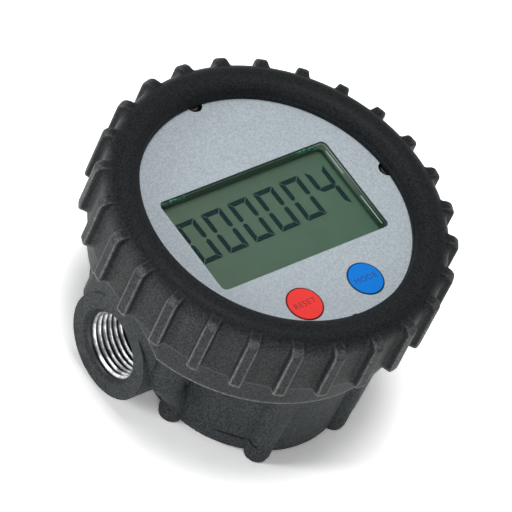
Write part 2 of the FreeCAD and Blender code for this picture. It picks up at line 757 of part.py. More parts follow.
def make_battery(name, side):
    """Round cell lying along X with its tip towards +X or -X."""
    height = floor_top + s.cell_radius
    case = lying(name + "_case", s.cell_radius, -s.cell_length / 2,
                 s.cell_length / 2 - s.cell_tip, side, height)
    tip = lying(name + "_tip", s.cell_tip_radius, s.cell_length / 2 - s.cell_tip,
                s.cell_length / 2, side, height)
    cell = fuse(name, case, tip)
    return place(cell, 0, cell_place(side), 0)


def make_battery_holder():
    """Open frame on the register's floor round both cells."""
    length = s.cell_length + s.spring_room + s.contact_plate * 2
    width = s.cell_radius * 4 + s.cell_gap + s.cell_gap * 2
    walls = s.holder_wall * 2
    outer = box("holder_outer", length + walls, width + walls, floor_top,
                floor_top + s.holder_height)
    inner = box("holder_inner", length, width, floor_top - 1, floor_top + s.holder_height + 1)
    return cut("battery_holder", outer, inner)


def make_battery_contacts():
    """A flat contact at each cell's tip and one with a spring at its other end."""
    contacts = []
    end = (s.cell_length + s.spring_room) / 2
    height = floor_top + s.cell_radius
    for side in (1, -1):
        y = cell_place(side)
        for at_tip in (1, -1):
            x = (end + s.contact_plate / 2) * side * at_tip
            name = f"contact_{side}_{at_tip}"
            plate = box(name + "_plate", s.contact_plate, s.cell_radius * 1.6, floor_top,
                        floor_top + s.holder_height - 0.5, x, y)
            reach = s.cell_length / 2
            spring = lying(name + "_spring", s.cell_radius * 0.5, reach, end, side * at_tip,
                           height, s.cell_radius * 0.7)
            place(spring, reach * side * at_tip, y, height)
            contacts.append(fuse(name, plate, spring))
    return compound("battery_contacts", contacts)


def make_pulse_sensor():
    """Small sensor at the bottom of its well with three leads up to the board."""
    case = box("sensor_case", s.sensor_width, s.sensor_depth, well_floor,
               well_floor + s.sensor_height, 0, sensor_y)
    leads = [box(f"sensor_lead_{number}", s.lead_size, s.lead_size,
                 well_floor + s.sensor_height, board_top, s.lead_pitch * number, sensor_y)
             for number in (-1, 0, 1)]
    return fuse("pulse_sensor", case, *leads)


def make_register_seal():
    """Square ring in the groove of the body's top."""
    return square_ring("register_seal", s.ring_seal_radius, s.ring_seal_cord,
                       body_top - s.ring_seal_cord, body_top)


def make_meter_body():
    """Casting: obround chamber part under a round flange, with two ports and eight bosses."""
    body = new_body("body_casting")
    sketch = new_sketch(body, "XY_Plane", "body_outline", cap_top)
    obround(sketch, body_radius, s.body_offset)
    wall = pad(body, "body_wall", sketch, flange_bottom - cap_top)
    bind(wall, TaperAngle=s.body_draft)
    flange = cylinder("body_flange", s.register_radius, flange_bottom, rim_top)
    solids = [body, flange]
    for side in (1, -1):
        word = "left" if side < 0 else "right"
        solids.append(lying(f"{word}_barrel", s.port_barrel, chamber_radius, port_reach - 1,
                            side, port_height))
        web = box(f"{word}_port_web", port_reach - s.body_offset, s.port_barrel * 2,
                  port_height, flange_bottom,
                  (port_reach + s.body_offset) / 2 * side, 0)
        solids.append(web)
    for number, (x, y) in enumerate(end_bosses):
        solids.append(cone(f"end_boss_{number}", s.boss_foot, s.boss_root, cap_top,
                           flange_bottom, x, y))
    trim = cylinder("flange_round", s.register_radius, 0, rim_top)
    round_part = joined("Part::MultiCommon", "body_round", [fuse("body_mass", *solids), trim])
    collars = [lying(f"port_collar_{side}", s.port_collar, port_reach - s.port_collar_length,
                     port_reach, side, port_height) for side in (1, -1)]
    solid = fuse("body_with_collars", round_part, *collars)
    for number, (x, y) in enumerate(side_bosses):
        boss = leaning_boss(f"side_boss_{number}", x, y)
        solid = fuse(f"body_with_boss_{number}", solid, *boss)
    tools = []
    for side in (1, -1):
        flare = s.port_mouth - s.port_bore
        tools += [
            lying(f"port_bore_{side}", s.port_bore, port_reach - s.port_depth,
                  port_reach, side, port_height),
            lying(f"port_chamfer_{side}", s.port_bore, port_reach - flare, port_reach, side,
                  port_height, s.port_mouth),
            lying(f"port_passage_{side}", s.port_passage, 0, port_reach - s.port_depth, side,
                  port_height),
            cylinder(f"gear_chamber_{side}", chamber_radius, 0, chamber_top, 0,
                     gear_offset * side),
            cylinder(f"pin_socket_{side}", s.pin_radius, chamber_top - 1,
                     chamber_top + s.pin_roof, 0, gear_offset * side)]
    for number, (x, y) in enumerate(boss_places):
        tools.append(cylinder(f"body_thread_{number}", s.cap_screw_radius, 0,
                              cap_top + s.cap_screw_bite, x, y))
    for number, (x, y) in enumerate(quarter_turns(screw_circle)):
        tools.append(cylinder(f"flange_thread_{number}", s.screw_radius, body_top - s.screw_bite,
                              body_top + 1, x, y))
    tools.append(cylinder("sensor_recess", s.well_radius + s.well_play,
                          body_top - s.well_depth - s.well_play, body_top + 1, 0, sensor_y))
    tools.append(square_ring("register_seal_groove", s.ring_seal_radius,
                             s.ring_seal_cord + s.seal_room, body_top - s.ring_seal_cord,
                             body_top + 1))
    tools.append(cylinder("register_seat", foot_radius + s.rim_play, body_top, rim_top + 1))
    below = new_body("below_cap_line")
    sketch = new_sketch(below, "XY_Plane", "cap_clearance_outline")
    obround(sketch, body_radius + 0.25, s.body_offset)
    pad(below, "cap_clearance", sketch, cap_top)
    tools.append(below)
    return cut("meter_body", solid, *tools)


def leaning_boss(name, x, y):
    """Boss that leans out from its foot to the port's barrel, and goes straight up from there."""
    side = 1 if x.value > 0 else -1
    row = 1 if y.value > 0 else -1
    top_x = x + s.gusset_lean * side
    top_y = y - s.gusset_tuck * row
    rings = []
    for radius, ring_x, ring_y, height in ((s.boss_foot, x, y, cap_top),
                                           (s.gusset_radius, top_x, top_y, port_height)):
        ring = doc.addObject("Part::Circle", name + "_ring")
        bind(ring, Radius=radius)
        rings.append(place(ring, ring_x, ring_y, height))
    lean = doc.addObject("Part::Loft", name + "_lean")
    lean.Sections = rings
    lean.Solid = True
    lean.Ruled = True
    upright = cylinder(name + "_upright", s.gusset_radius, port_height, flange_bottom, top_x, top_y)
    return [lean, upright]


def square_ring(name, radius, width, low, high):
    """Ring of a given width about a middle radius."""
    body = new_body(name)
    body.Tip = turned(body, name + "_turned",
                      disc_section(radius - width / 2, radius + width / 2, low, high))
    return body


def make_bottom_cap():
    """Obround cover with eight feet, screwed on from below."""
    plate = new_body("cap_plate")
    sketch = new_sketch(plate, "XY_Plane", "cap_outline", cap_bottom)
    obround(sketch, body_radius, s.body_offset)
    pad(plate, "cap_sheet", sketch, s.cap_thickness)
    bosses = [cylinder(f"cap_boss_{number}", s.boss_foot, boss_bottom, cap_top, x, y)
              for number, (x, y) in enumerate(boss_places)]
    tools = []
    hole = s.cap_screw_radius + s.cap_screw_play
    for number, (x, y) in enumerate(boss_places):
        tools.append(cylinder(f"cap_hole_{number}", hole, 0, cap_top + 1, x, y))
    for side in (1, -1):
        tools.append(cylinder(f"cap_pin_socket_{side}", s.pin_radius, cap_top - s.pin_seat,
                              cap_top + 1, 0, gear_offset * side))
        angle = 45
        tools.append(pry_slit(side, angle))
    tools.append(seal_ring("seal_groove", s.seal_cord + s.seal_room))
    return cut("bottom_cap", fuse("cap_solid", plate, *bosses), *tools)


def pry_slit(side, angle):
    """Slot in the cap's upper edge, between two bosses, for prising it off."""
    middle = body_radius - s.slit_depth / 2
    slope = math.radians(angle)
    item = doc.addObject("Part::Box", f"pry_slit_{side}")
    bind(item, Length=s.slit_depth * 2, Width=s.slit_length, Height=s.slit_height)
    x = (middle * math.cos(slope) + s.slit_length / 2 * math.sin(slope)) * side
    y = (middle * math.sin(slope) - s.slit_length / 2 * math.cos(slope) + s.body_offset) * side
    item.Placement = Placement(Vector(), Rotation(Vector(0, 0, 1), angle + (180 if side < 0 else 0)))
    return place(item, x, y, cap_top - s.slit_height)


def seal_ring(name, width):
    """Square ring round both gear chambers, just below the cap's joint."""
    body = new_body(name)
    sketch = new_sketch(body, "XY_Plane", name + "_outline", cap_top - s.seal_cord)
    obround(sketch, seal_radius + width / 2, gear_offset)
    pad(body, name + "_ring", sketch, s.seal_cord)
    sketch = new_sketch(body, "XY_Plane", name + "_inner_outline", cap_top - s.seal_cord)
    obround(sketch, seal_radius - width / 2, gear_offset)
    body.Tip = pocket(body, name + "_hole", sketch, s.seal_cord)
    return body


def make_chamber_seal():
    """Square ring in the cap's groove."""
    return seal_ring("chamber_seal", s.seal_cord)


def involute_point(base, angle):
    """Point of an involute of a base circle, unrolled by an angle."""
    return Vector(base * (math.cos(angle) + angle * math.sin(angle)),
                  base * (math.sin(angle) - angle * math.cos(angle)), 0)


def gear_wire():
    """Outline of a spur gear with involute flanks and a tooth on the -Y axis."""
    module = s.gear_module.value
    teeth = int(s.gear_teeth.value)
    pressure = math.radians(20)
    pitch = module * teeth / 2
    base = pitch * math.cos(pressure)
    tip = pitch + module
    foot = pitch - 1.25 * module
    at_pitch = math.tan(pressure) - pressure
    half_tooth = math.pi / 2 / teeth - s.gear_backlash.value / 2 / pitch
    last = math.sqrt((tip / base) ** 2 - 1)
    turn = -(half_tooth + at_pitch)
    flank = [involute_point(base, last * step / 4) for step in range(5)]
    edges = []
    for tooth in range(teeth):
        middle = 2 * math.pi * tooth / teeth - math.pi / 2
        rising = [rotated(point, middle + turn) for point in flank]
        falling = [rotated(Vector(p.x, -p.y, 0), middle - turn) for p in reversed(flank)]
        low_first = rotated(Vector(foot, 0, 0), middle + turn)
        low_last = rotated(Vector(foot, 0, 0), middle - turn)
        next_low = rotated(low_first, 2 * math.pi / teeth)
        edges.append(Part.makeLine(low_first, rising[0]))
        edges += two_arcs(rising)
        edges.append(Part.Arc(rising[-1], rotated(Vector(tip, 0, 0), middle),
                              falling[0]).toShape())
        edges += two_arcs(falling)
        edges.append(Part.makeLine(falling[-1], low_last))
        valley = rotated(Vector(foot, 0, 0), middle + math.pi / teeth)
        edges.append(Part.Arc(low_last, valley, next_low).toShape())
    return Part.Wire(edges)


def rotated(point, angle):
    return Vector(point.x * math.cos(angle) - point.y * math.sin(angle),
                  point.x * math.sin(angle) + point.y * math.cos(angle), 0)


def two_arcs(points):
    """A flank's five points joined by two arcs, each through three of them."""
    return [Part.Arc(*points[:3]).toShape(), Part.Arc(*points[2:]).toShape()]


def make_gear(name, side, magnets):
    """Measuring gear: involute teeth round a bush, with magnet pockets in the driving one."""
    bottom = (cap_top + s.gear_play).value
    height = (s.chamber_depth - s.gear_play * 2).value
    solid = Part.Face(gear_wire()).extrude(Vector(0, 0, height))
    bore = (s.pin_radius + s.pin_play + s.bush_wall).value
    solid = solid.cut(Part.makeCylinder(bore, height))
    if magnets:
        for x in (1, -1):
            middle = Vector(0, s.magnet_circle.value * x, height - s.magnet_depth.value)
            solid = solid.cut(Part.makeCylinder(s.magnet_radius.value, height, middle))
    item = doc.addObject("Part::Feature", name)
    item.Shape = solid
    item.Placement = Placement(Vector(0, gear_offset.value * side, bottom), Rotation())
    return item


def make_bush(name, side):
    """Plain bush pressed into a gear."""
    body = new_body(name)
    inner = s.pin_radius + s.pin_play
    body.Tip = turned(body, name + "_ring", disc_section(
        inner, inner + s.bush_wall, cap_top + s.gear_play, chamber_top - s.gear_play))
    return place(body, 0, gear_offset * side, 0)


def make_pin(name, side):
    """Fixed pin between cap and body."""
    return cylinder(name, s.pin_radius, cap_top - s.pin_seat, chamber_top + s.pin_roof,
                    0, gear_offset * side)


def make_magnets():
    """Two magnets flush with the drive gear's upper face."""
    top = chamber_top - s.gear_play
    return compound("gear_magnets", [
        cylinder(f"magnet_{side}", s.magnet_radius, top - s.magnet_depth, top, 0,
                 gear_offset + s.magnet_circle * side) for side in (1, -1)])


key_top = label_top + s.key_proud
key_bottom = cover_bottom - s.key_play - s.key_flange - s.key_stem
sensor_y = gear_offset + s.magnet_circle
well_floor = body_top - s.well_depth + s.well_wall
gasket_inner = s.register_radius - s.cover_gasket_play - s.cover_gasket_width

nodes = {
    "guard_ring": make_guard_ring(),
    "face_label": make_face_label(),
    "register_cover": make_register_cover(),
    "cover_gasket": make_cover_gasket(),
    "lcd_window": make_lcd_window(),
    "lcd_panel": make_lcd_panel(),
    "lcd_frame": make_lcd_frame(),
    "contact_strips": make_contact_strips(),
    "circuit_board": make_circuit_board(),
    "board_screws": make_board_screws(),
    "key_switches": make_key_switches(),
    "reset_button": make_key("reset_button"),
    "total_button": make_key("total_button"),
    "battery_front": make_battery("battery_front", -1),
    "battery_rear": make_battery("battery_rear", 1),
    "battery_holder": make_battery_holder(),
    "battery_contacts": make_battery_contacts(),
    "pulse_sensor": make_pulse_sensor(),
    "register_base": make_register_base(),
    "register_screws": make_register_screws(),
    "register_seal": make_register_seal(),
    "meter_body": make_meter_body(),
    "chamber_seal": make_chamber_seal(),
    "bottom_cap": make_bottom_cap(),
    "cap_screws": make_cap_screws(),
    "drive_gear": make_gear("drive_gear", 1, True),
    "idle_gear": make_gear("idle_gear", -1, False),
    "drive_bush": make_bush("drive_bush", 1),
    "idle_bush": make_bush("idle_bush", -1),
    "drive_pin": make_pin("drive_pin", 1),
    "idle_pin": make_pin("idle_pin", -1),
    "gear_magnets": make_magnets(),
}

for node, item in nodes.items():
    if item.Label != node:
        item.Label = node
doc.recompute()

for item in doc.Objects:
    if "Invalid" in item.State or "Error" in item.State:
        raise RuntimeError(f"{item.Name} failed: {item.getStatusString()}")
for node, item in nodes.items():
    if item.Shape.isNull() or not item.Shape.isValid() or not item.Shape.Solids:
        raise RuntimeError(f"{node} has no valid solid")

os.makedirs("parts", exist_ok=True)
for node, item in nodes.items():
    item.Shape.exportStep(f"parts/{node}.step")
    print(node, len(item.Shape.Solids), round(item.Shape.Volume, 1))
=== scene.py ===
"""Electronic oil meter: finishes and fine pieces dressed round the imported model."""

import json
import math

import bmesh
import bpy
import numpy as np
from bpy.props import (FloatProperty, FloatVectorProperty, IntProperty, PointerProperty,
                       StringProperty)
from mathutils import Matrix, Vector


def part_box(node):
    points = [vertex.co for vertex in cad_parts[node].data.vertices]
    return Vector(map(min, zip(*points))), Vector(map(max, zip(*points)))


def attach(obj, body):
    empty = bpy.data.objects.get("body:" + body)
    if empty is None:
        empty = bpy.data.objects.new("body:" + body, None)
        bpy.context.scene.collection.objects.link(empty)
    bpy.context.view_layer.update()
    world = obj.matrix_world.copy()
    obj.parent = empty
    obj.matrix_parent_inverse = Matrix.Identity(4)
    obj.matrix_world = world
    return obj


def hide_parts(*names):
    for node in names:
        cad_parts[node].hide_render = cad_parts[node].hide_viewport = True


bl_info = {
    "name": "Oil Meter Dressing",
    "version": (1, 0, 0),
    "blender": (4, 5, 0),
    "location": "View3D > Sidebar > Oil Meter",
    "description": "Dresses the oil meter with its boot, display, port threads and finishes",
    "category": "Object",
}

MM = 0.001
HAIR = 0.01 * MM
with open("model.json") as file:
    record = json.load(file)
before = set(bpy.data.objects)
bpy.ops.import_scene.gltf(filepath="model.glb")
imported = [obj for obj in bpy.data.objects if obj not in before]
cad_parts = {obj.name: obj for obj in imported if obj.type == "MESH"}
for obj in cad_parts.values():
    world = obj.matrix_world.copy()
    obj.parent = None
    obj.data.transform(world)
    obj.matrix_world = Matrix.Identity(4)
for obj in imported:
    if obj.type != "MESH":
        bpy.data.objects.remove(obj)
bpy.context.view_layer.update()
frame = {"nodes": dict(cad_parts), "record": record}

LABEL_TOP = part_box("face_label")[1].z
RING_BOTTOM, RING_TOP = (corner.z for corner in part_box("guard_ring"))
PANEL_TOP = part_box("lcd_panel")[1].z
PORTS = [mount for mount in frame["record"]["mounts"] if mount["kind"] == "threaded_hole"]
PORT_HEIGHT = PORTS[0]["pos_m"][2]
BORE = PORTS[0]["dims"]["r_mm"] * MM


# Mesh helpers

def grid_faces(rows, columns, closed=False):
    """Quads between rows of points that are rings, and from last to first where closed."""
    row = np.arange(rows if closed else rows - 1)
    low, left = np.meshgrid(row, np.arange(columns), indexing="ij")
    high = (low + 1) % rows
    right = (left + 1) % columns
    corners = (low * columns + left, low * columns + right, high * columns + right,
               high * columns + left)
    return np.stack(corners, axis=-1).reshape(-1, 4)


def prism(low, high):
    """Points and faces of a closed prism between two outlines, anticlockwise from above."""
    count = len(low)
    ends = (range(count - 1, -1, -1), range(count, 2 * count))
    return np.concatenate([low, high]), [*grid_faces(2, count), *ends]


def at_height(outline, height):
    """A flat outline's points with this height."""
    return np.column_stack([outline, np.full(len(outline), height)])


def add_object(name, data):
    """Object at the origin that holds this mesh, curve, lamp or camera."""
    item = bpy.data.objects.new(name, data)
    bpy.context.collection.objects.link(item)
    return item


def final_mesh(item):
    """Mesh of what an object is after its modifiers."""
    bpy.context.view_layer.update()
    depsgraph = bpy.context.evaluated_depsgraph_get()
    return bpy.data.meshes.new_from_object(item.evaluated_get(depsgraph))


def new_mesh(name, points, faces, smooth=True):
    """Mesh object at the origin from an array of points and lists of faces."""
    mesh = bpy.data.meshes.new(name)
    mesh.from_pydata(np.asarray(points, float).reshape(-1, 3), [], [list(face) for face in faces])
    mesh.update()
    mesh.polygons.foreach_set("use_smooth", [smooth] * len(mesh.polygons))
    return add_object(name, mesh)


def mark_points(item, name, values):
    """Give each point of a mesh its value of an attribute that its material reads."""
    marks = item.data.attributes.new(name, "FLOAT", "POINT")
    marks.data.foreach_set("value", np.asarray(values, np.float32).ravel())


def paint(item, material):
    """Give an object this material and no other."""
    item.data.materials.clear()
    item.data.materials.append(material)
    return item


def paint_packed(material, *names):
    """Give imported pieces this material."""
    for name in names:
        paint(frame["nodes"][name], material)


def sharp_by_angle(item, degrees):
    """Keep edges steeper than an angle crisp."""
    with bpy.context.temp_override(object=item, active_object=item, selected_objects=[item],
                                   selected_editable_objects=[item]):
        bpy.ops.object.shade_smooth_by_angle(angle=math.radians(degrees))


def smoothstep(low, high, value):
    """0 below low, 1 above high, and an even S-shaped rise between them."""
    share = np.clip((value - low) / (high - low), 0.0, 1.0)
    return share * share * (3.0 - 2.0 * share)


# Shader maths

class Shade:
    """A socket whose operators add the nodes that work them out."""

    def __init__(self, tree, socket):
        self.tree = tree
        self.socket = socket

    def node(self, kind, settings=None, output=0, **inputs):
        """Any node: its type, its settings, then values or links of its sockets.

        A socket goes by its name with spaces as underscores, or by the letter i and its number.
        """
        made = self.tree.nodes.new(kind)
        for key, value in (settings or {}).items():
            setattr(made, key, value)
        for key, value in inputs.items():
            numbered = key[0] == "i" and key[1:].isdigit()
            socket = made.inputs[int(key[1:]) if numbered else key.replace("_", " ")]
            feed(socket, value)
        return Shade(self.tree, made.outputs[output])

    def math(self, operation, first, second=0.0):
        """A Math node on one or two values."""
        return self.node("ShaderNodeMath", {"operation": operation}, i0=first, i1=second)

    def __add__(self, other):
        return self.math("ADD", self, other)

    __radd__ = __add__

    def __sub__(self, other):
        return self.math("SUBTRACT", self, other)

    def __rsub__(self, other):
        return self.math("SUBTRACT", other, self)

    def __mul__(self, other):
        return self.math("MULTIPLY", self, other)

    __rmul__ = __mul__

    def __abs__(self):
        return self.math("ABSOLUTE", self)

    def __pow__(self, power):
        return self.math("POWER", self, power)

    def __gt__(self, other):
        return self.math("GREATER_THAN", self, other)

    def __lt__(self, other):
        return self.math("LESS_THAN", self, other)

    def band(self, low, high):
        """A soft rise from 0 at low to 1 at high."""
        return self.node("ShaderNodeMapRange", {"interpolation_type": "SMOOTHSTEP"}, Value=self,
                         From_Min=low, From_Max=high)

    def mixed(self, first, second):
        """Colour that goes from the first to the second as this value goes from 0 to 1."""
        return self.node("ShaderNodeMix", {"data_type": "RGBA", "clamp_factor": True}, output=2,
                         i0=self, i6=first, i7=second)

    def axis(self, name):
        """One coordinate of a vector."""
        return self.node("ShaderNodeSeparateXYZ", output="XYZ".index(name), Vector=self)

    def tinted(self, tone, low, high):
        """Colour from a tone darkened by low to the same tone lightened by high."""
        return self.mixed([part * low for part in tone], [min(part * high, 1.0) for part in tone])


def feed(socket, value):
    """Link a socket to a worked-out value, or give it a plain number, vector or colour."""
    if isinstance(value, Shade):
        value.tree.links.new(value.socket, socket)
    else:
        socket.default_value = (*value[:3], 1.0) if socket.type == "RGBA" else value


class Finish:
    """A material with one Principled shader, read on Object coordinates in millimetres."""

    def __init__(self, name, **sockets):
        self.material = bpy.data.materials.new(name)
        self.material.use_nodes = True
        tree = self.material.node_tree
        self.shader = next(n for n in tree.nodes if n.type == "BSDF_PRINCIPLED")
        self.output = next(n for n in tree.nodes if n.type == "OUTPUT_MATERIAL")
        place = Shade(tree, tree.nodes.new("ShaderNodeTexCoord").outputs["Object"])
        self.place = place.node("ShaderNodeMapping", Vector=place, Scale=(1 / MM,) * 3)
        self.set(**sockets)

    def set(self, **sockets):
        """Values or links of the shader's sockets, with spaces as underscores."""
        for key, value in sockets.items():
            feed(self.shader.inputs[key.replace("_", " ")], value)

    def noise(self, size, detail=3.0, roughness=0.55, where=None):
        """Noise from 0 to 1 with a grain of about this many millimetres."""
        where = where or self.place
        return where.node("ShaderNodeTexNoise", Vector=where, Scale=1.0 / size, Detail=detail,
                          Roughness=roughness)

    def attribute(self, name):
        """A value that the piece's mesh carries, one for each point."""
        return self.place.node("ShaderNodeAttribute", {"attribute_name": name}, output=2)

    def bump(self, height, depth, **under):
        """Normal from a height of 0 to 1 that stands for this depth in millimetres."""
        return self.place.node("ShaderNodeBump", Height=height, Distance=depth * MM, Strength=1.0,
                               **under)


# Finishes

def boot_rubber(colours):
    """Black moulded rubber: strong spark grain, dull patches, pale dust, and painted highlights.
    """
    made = Finish("boot_rubber", Specular_IOR_Level=0.07)
    grain = made.noise(0.62, 2.0, 0.8)
    patches = made.noise(9.0, 3.0)
    smears = made.noise(2.2, 4.0, 0.7)
    specks = grain.band(0.34, 0.68)
    # painted light: pale highlights on edges, rib corners and rib tops, and pale dust that also
    # lights the sides, broken up by the grain
    painted_light = made.attribute("wear") * (smears * 0.6 + specks * 0.7 + 0.1)
    skin = (specks * 0.8 + patches * 0.2).tinted(colours.rubber, 0.25, 2.3)
    base = painted_light.mixed(skin, colours.rubber_highlight_dust)
    made.set(Base_Color=base, Roughness=0.34 + patches * 0.14 + grain * 0.16,
             Normal=made.bump(grain * 0.75 + smears * 0.25, 0.11))
    return made.material


def casting_paint(name, colours, bevel):
    """Dark blue-grey textured paint on a casting: coarse stipple, rubbed spots, rounded edges."""
    made = Finish(name, Specular_IOR_Level=0.12)
    stipple = made.noise(0.62, 2.0, 0.8)
    lumps = made.noise(1.4, 2.0)
    clouds = made.noise(11.0, 3.0)
    flecks = stipple.band(0.36, 0.68)
    base = (clouds * 0.2 + flecks * 0.8).tinted(colours.paint, 0.35, 1.9)
    edges = made.place.node("ShaderNodeBevel", {"samples": 6}, Radius=bevel * MM)
    made.set(Base_Color=base, Roughness=0.5 + lumps * 0.16,
             Normal=made.bump(stipple * 0.7 + lumps * 0.3, 0.13, Normal=edges))
    return made.material


# from a key's edge to its printed ring in millimetres, and the ring's share of the key's colour
KEY_BORDER = 0.8
KEY_RIM = 0.2


def label_film(colours):
    """Matt silver-grey film: a fine printed grain and a faint cloudiness."""
    made = Finish("label_film", Specular_IOR_Level=0.35)
    clouds = made.noise(16.0, 3.0)
    fine = made.noise(0.5, 2.0, 0.8)
    base = (clouds * 0.25 + fine.band(0.35, 0.65) * 0.75).tinted(colours.label, 0.78, 1.19)
    made.set(Base_Color=base, Roughness=0.5 + fine * 0.12, Normal=made.bump(fine, 0.008))
    return made.material


def key_finish(node, face):
    """Domed key film: a bright face, a thin dark printed ring and a faint orange-peel skin."""
    made = Finish(node, Specular_IOR_Level=0.15)
    low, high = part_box(node)
    centre = (low + high) / 2 / MM
    radius = (high.x - low.x) / 2 / MM - KEY_BORDER
    rim = [part * KEY_RIM for part in face]
    offset = made.place.node("ShaderNodeVectorMath", {"operation": "SUBTRACT"}, i0=made.place,
                             i1=(centre.x, centre.y, 0.0))
    across = offset.axis("X")
    along = offset.axis("Y")
    distance = (across * across + along * along) ** 0.5
    skin = made.noise(0.3, 2.0)
    clouds = made.noise(4.0, 3.0)
    plain = (clouds * 0.4 + skin * 0.6).tinted(face, 0.86, 1.1)
    ring = distance.band(radius - 0.5, radius - 0.25)
    made.set(Base_Color=ring.mixed(plain, rim), Roughness=0.4 + skin * 0.1,
             Normal=made.bump(skin, 0.012))
    return made.material


def ink(name, tone, grain, detail, gloss, roughness):
    """A key's printed word or the display's dark segments, slightly uneven."""
    made = Finish(name, Specular_IOR_Level=gloss)
    made.set(Base_Color=made.noise(grain, detail).tinted(tone, 0.8, 1.2), Roughness=roughness)
    return made.material


def display_finish(colours):
    """Grey-green reflective display: a slow change of tone and a fine mottled backing."""
    made = Finish("display_backing", Specular_IOR_Level=0.3)
    slope = made.place.axis("X") * 0.011 - made.place.axis("Y") * 0.012 + 0.5
    mottle = made.noise(0.35, 4.0, 0.7)
    fine = made.noise(3.0, 2.0)
    base = slope.band(0.0, 1.0).mixed(colours.display_cool, colours.display_warm)
    shade = (mottle * 0.7 + fine * 0.3).band(0.35, 0.65) * 0.24 + 0.86
    base = base.node("ShaderNodeVectorMath", {"operation": "SCALE"}, Vector=base, Scale=shade)
    made.set(Base_Color=base, Roughness=0.5)
    return made.material


def bare_thread():
    """Freshly cut metal, bright on the crests, with painted shade in the valleys and on the
    chamfer.
    """
    made = Finish("bare_thread", Metallic=1.0)
    marks = made.place.node("ShaderNodeMapping", Vector=made.place, Scale=(6.0, 0.6, 0.6))
    lines = made.noise(0.9, 3.0, 0.6, marks)
    clouds = made.noise(2.4, 3.0)
    # painted shade: dark in the thread's valleys and on the chamfer
    valley_shade = made.attribute("depth").band(0.4, 0.86)
    bright = clouds.band(0.36, 0.64).mixed((0.26, 0.27, 0.28), (0.78, 0.79, 0.79))
    made.set(Base_Color=valley_shade.mixed(bright, (0.03, 0.032, 0.034)),
             Roughness=0.34 + lines * 0.24, Normal=made.bump(lines, 0.03))
    return made.material


def plain_metal(name, dark, light, roughness):
    """Metal with a fine directionless grain."""
    made = Finish(name, Metallic=1.0)
    fine = made.noise(0.3, 3.0)
    clouds = made.noise(3.0, 2.0)
    made.set(Base_Color=clouds.mixed(dark, light), Roughness=roughness + fine * 0.15,
             Normal=made.bump(fine, 0.01))
    return made.material


def moulded_plastic(name, tone, roughness=0.45):
    """Moulded plastic with a light spark texture and slow tone changes."""
    made = Finish(name)
    fine = made.noise(0.25, 2.0)
    made.set(Base_Color=made.noise(7.0, 3.0).tinted(tone, 0.88, 1.12),
             Roughness=roughness + fine * 0.12, Normal=made.bump(fine, 0.02))
    return made.material


def board_finish():
    """Green coated laminate with copper tracks showing through as paler lines."""
    made = Finish("board_laminate")
    across = made.place.axis("X") * 2.4
    tracks = abs(across.math("SINE", across)).band(0.9, 0.96)
    weave = made.noise(0.8, 2.0)
    made.set(Base_Color=tracks.mixed((0.02, 0.12, 0.05), (0.05, 0.22, 0.09)),
             Roughness=0.3 + weave * 0.1, Normal=made.bump(tracks, 0.03))
    return made.material


def clear_pane():
    """Clear moulded window face: see-through, with a mirror share that grows as it turns away."""
    made = Finish("clear_pane")
    through = made.place.node("ShaderNodeBsdfTransparent", Color=(0.97, 0.99, 0.97))
    gloss = made.place.node("ShaderNodeBsdfGlossy", Color=(0.6, 0.6, 0.6), Roughness=0.06,
                            Normal=made.bump(made.noise(9.0, 2.0), 0.02))
    turned = made.place.node("ShaderNodeLayerWeight", output=1, Blend=0.5)
    share = turned ** 4.0 * 0.6
    mix = made.place.node("ShaderNodeMixShader", i0=share, i1=through, i2=gloss)
    feed(made.output.inputs["Surface"], mix)
    return made.material


# where the window's right side begins, in millimetres
WINDOW_RIGHT = 26.0


def window_sides(colours):
    """Moulded sides of the window: dark green, with mould lines and broken light in its corners.

    Two thin lines run round at set depths, the ends of the upper side carry mottled green glints,
    and the right side is paler, with two thin white ones.
    """
    made = Finish("window_sides", Roughness=0.3)
    across = made.place.axis("X")
    along = made.place.axis("Y")
    depth = LABEL_TOP / MM - made.place.axis("Z")
    lines = 0.0
    for level in (1.25, 2.6):
        lines = (abs(depth - level) < 0.16) + lines
    base = lines.mixed(colours.pane_side, colours.pane_line)
    mottle = made.noise(0.9, 3.0, 0.7).band(0.48, 0.6)
    ends = abs(across + 0.7).band(19.0, 21.0) * (along > 12.0) * (depth < 2.2)
    base = (mottle * ends).mixed(base, colours.pane_glint)
    pale = (across > WINDOW_RIGHT) * (depth < 2.9) * along.band(-16.0, 10.0)
    base = pale.mixed(base, colours.pane_pale)
    streak = (abs(depth - 1.9) < 0.22) * (across > WINDOW_RIGHT)
    upper = (along > 4.5) * (along < 13.0)
    lower = (along < -4.0) * (along > -14.5)
    base = (streak * (upper + lower)).mixed(base, (0.75, 0.8, 0.78))
    made.set(Base_Color=base, Normal=made.bump(made.noise(1.5, 2.0), 0.05))
    return made.material


# Pieces

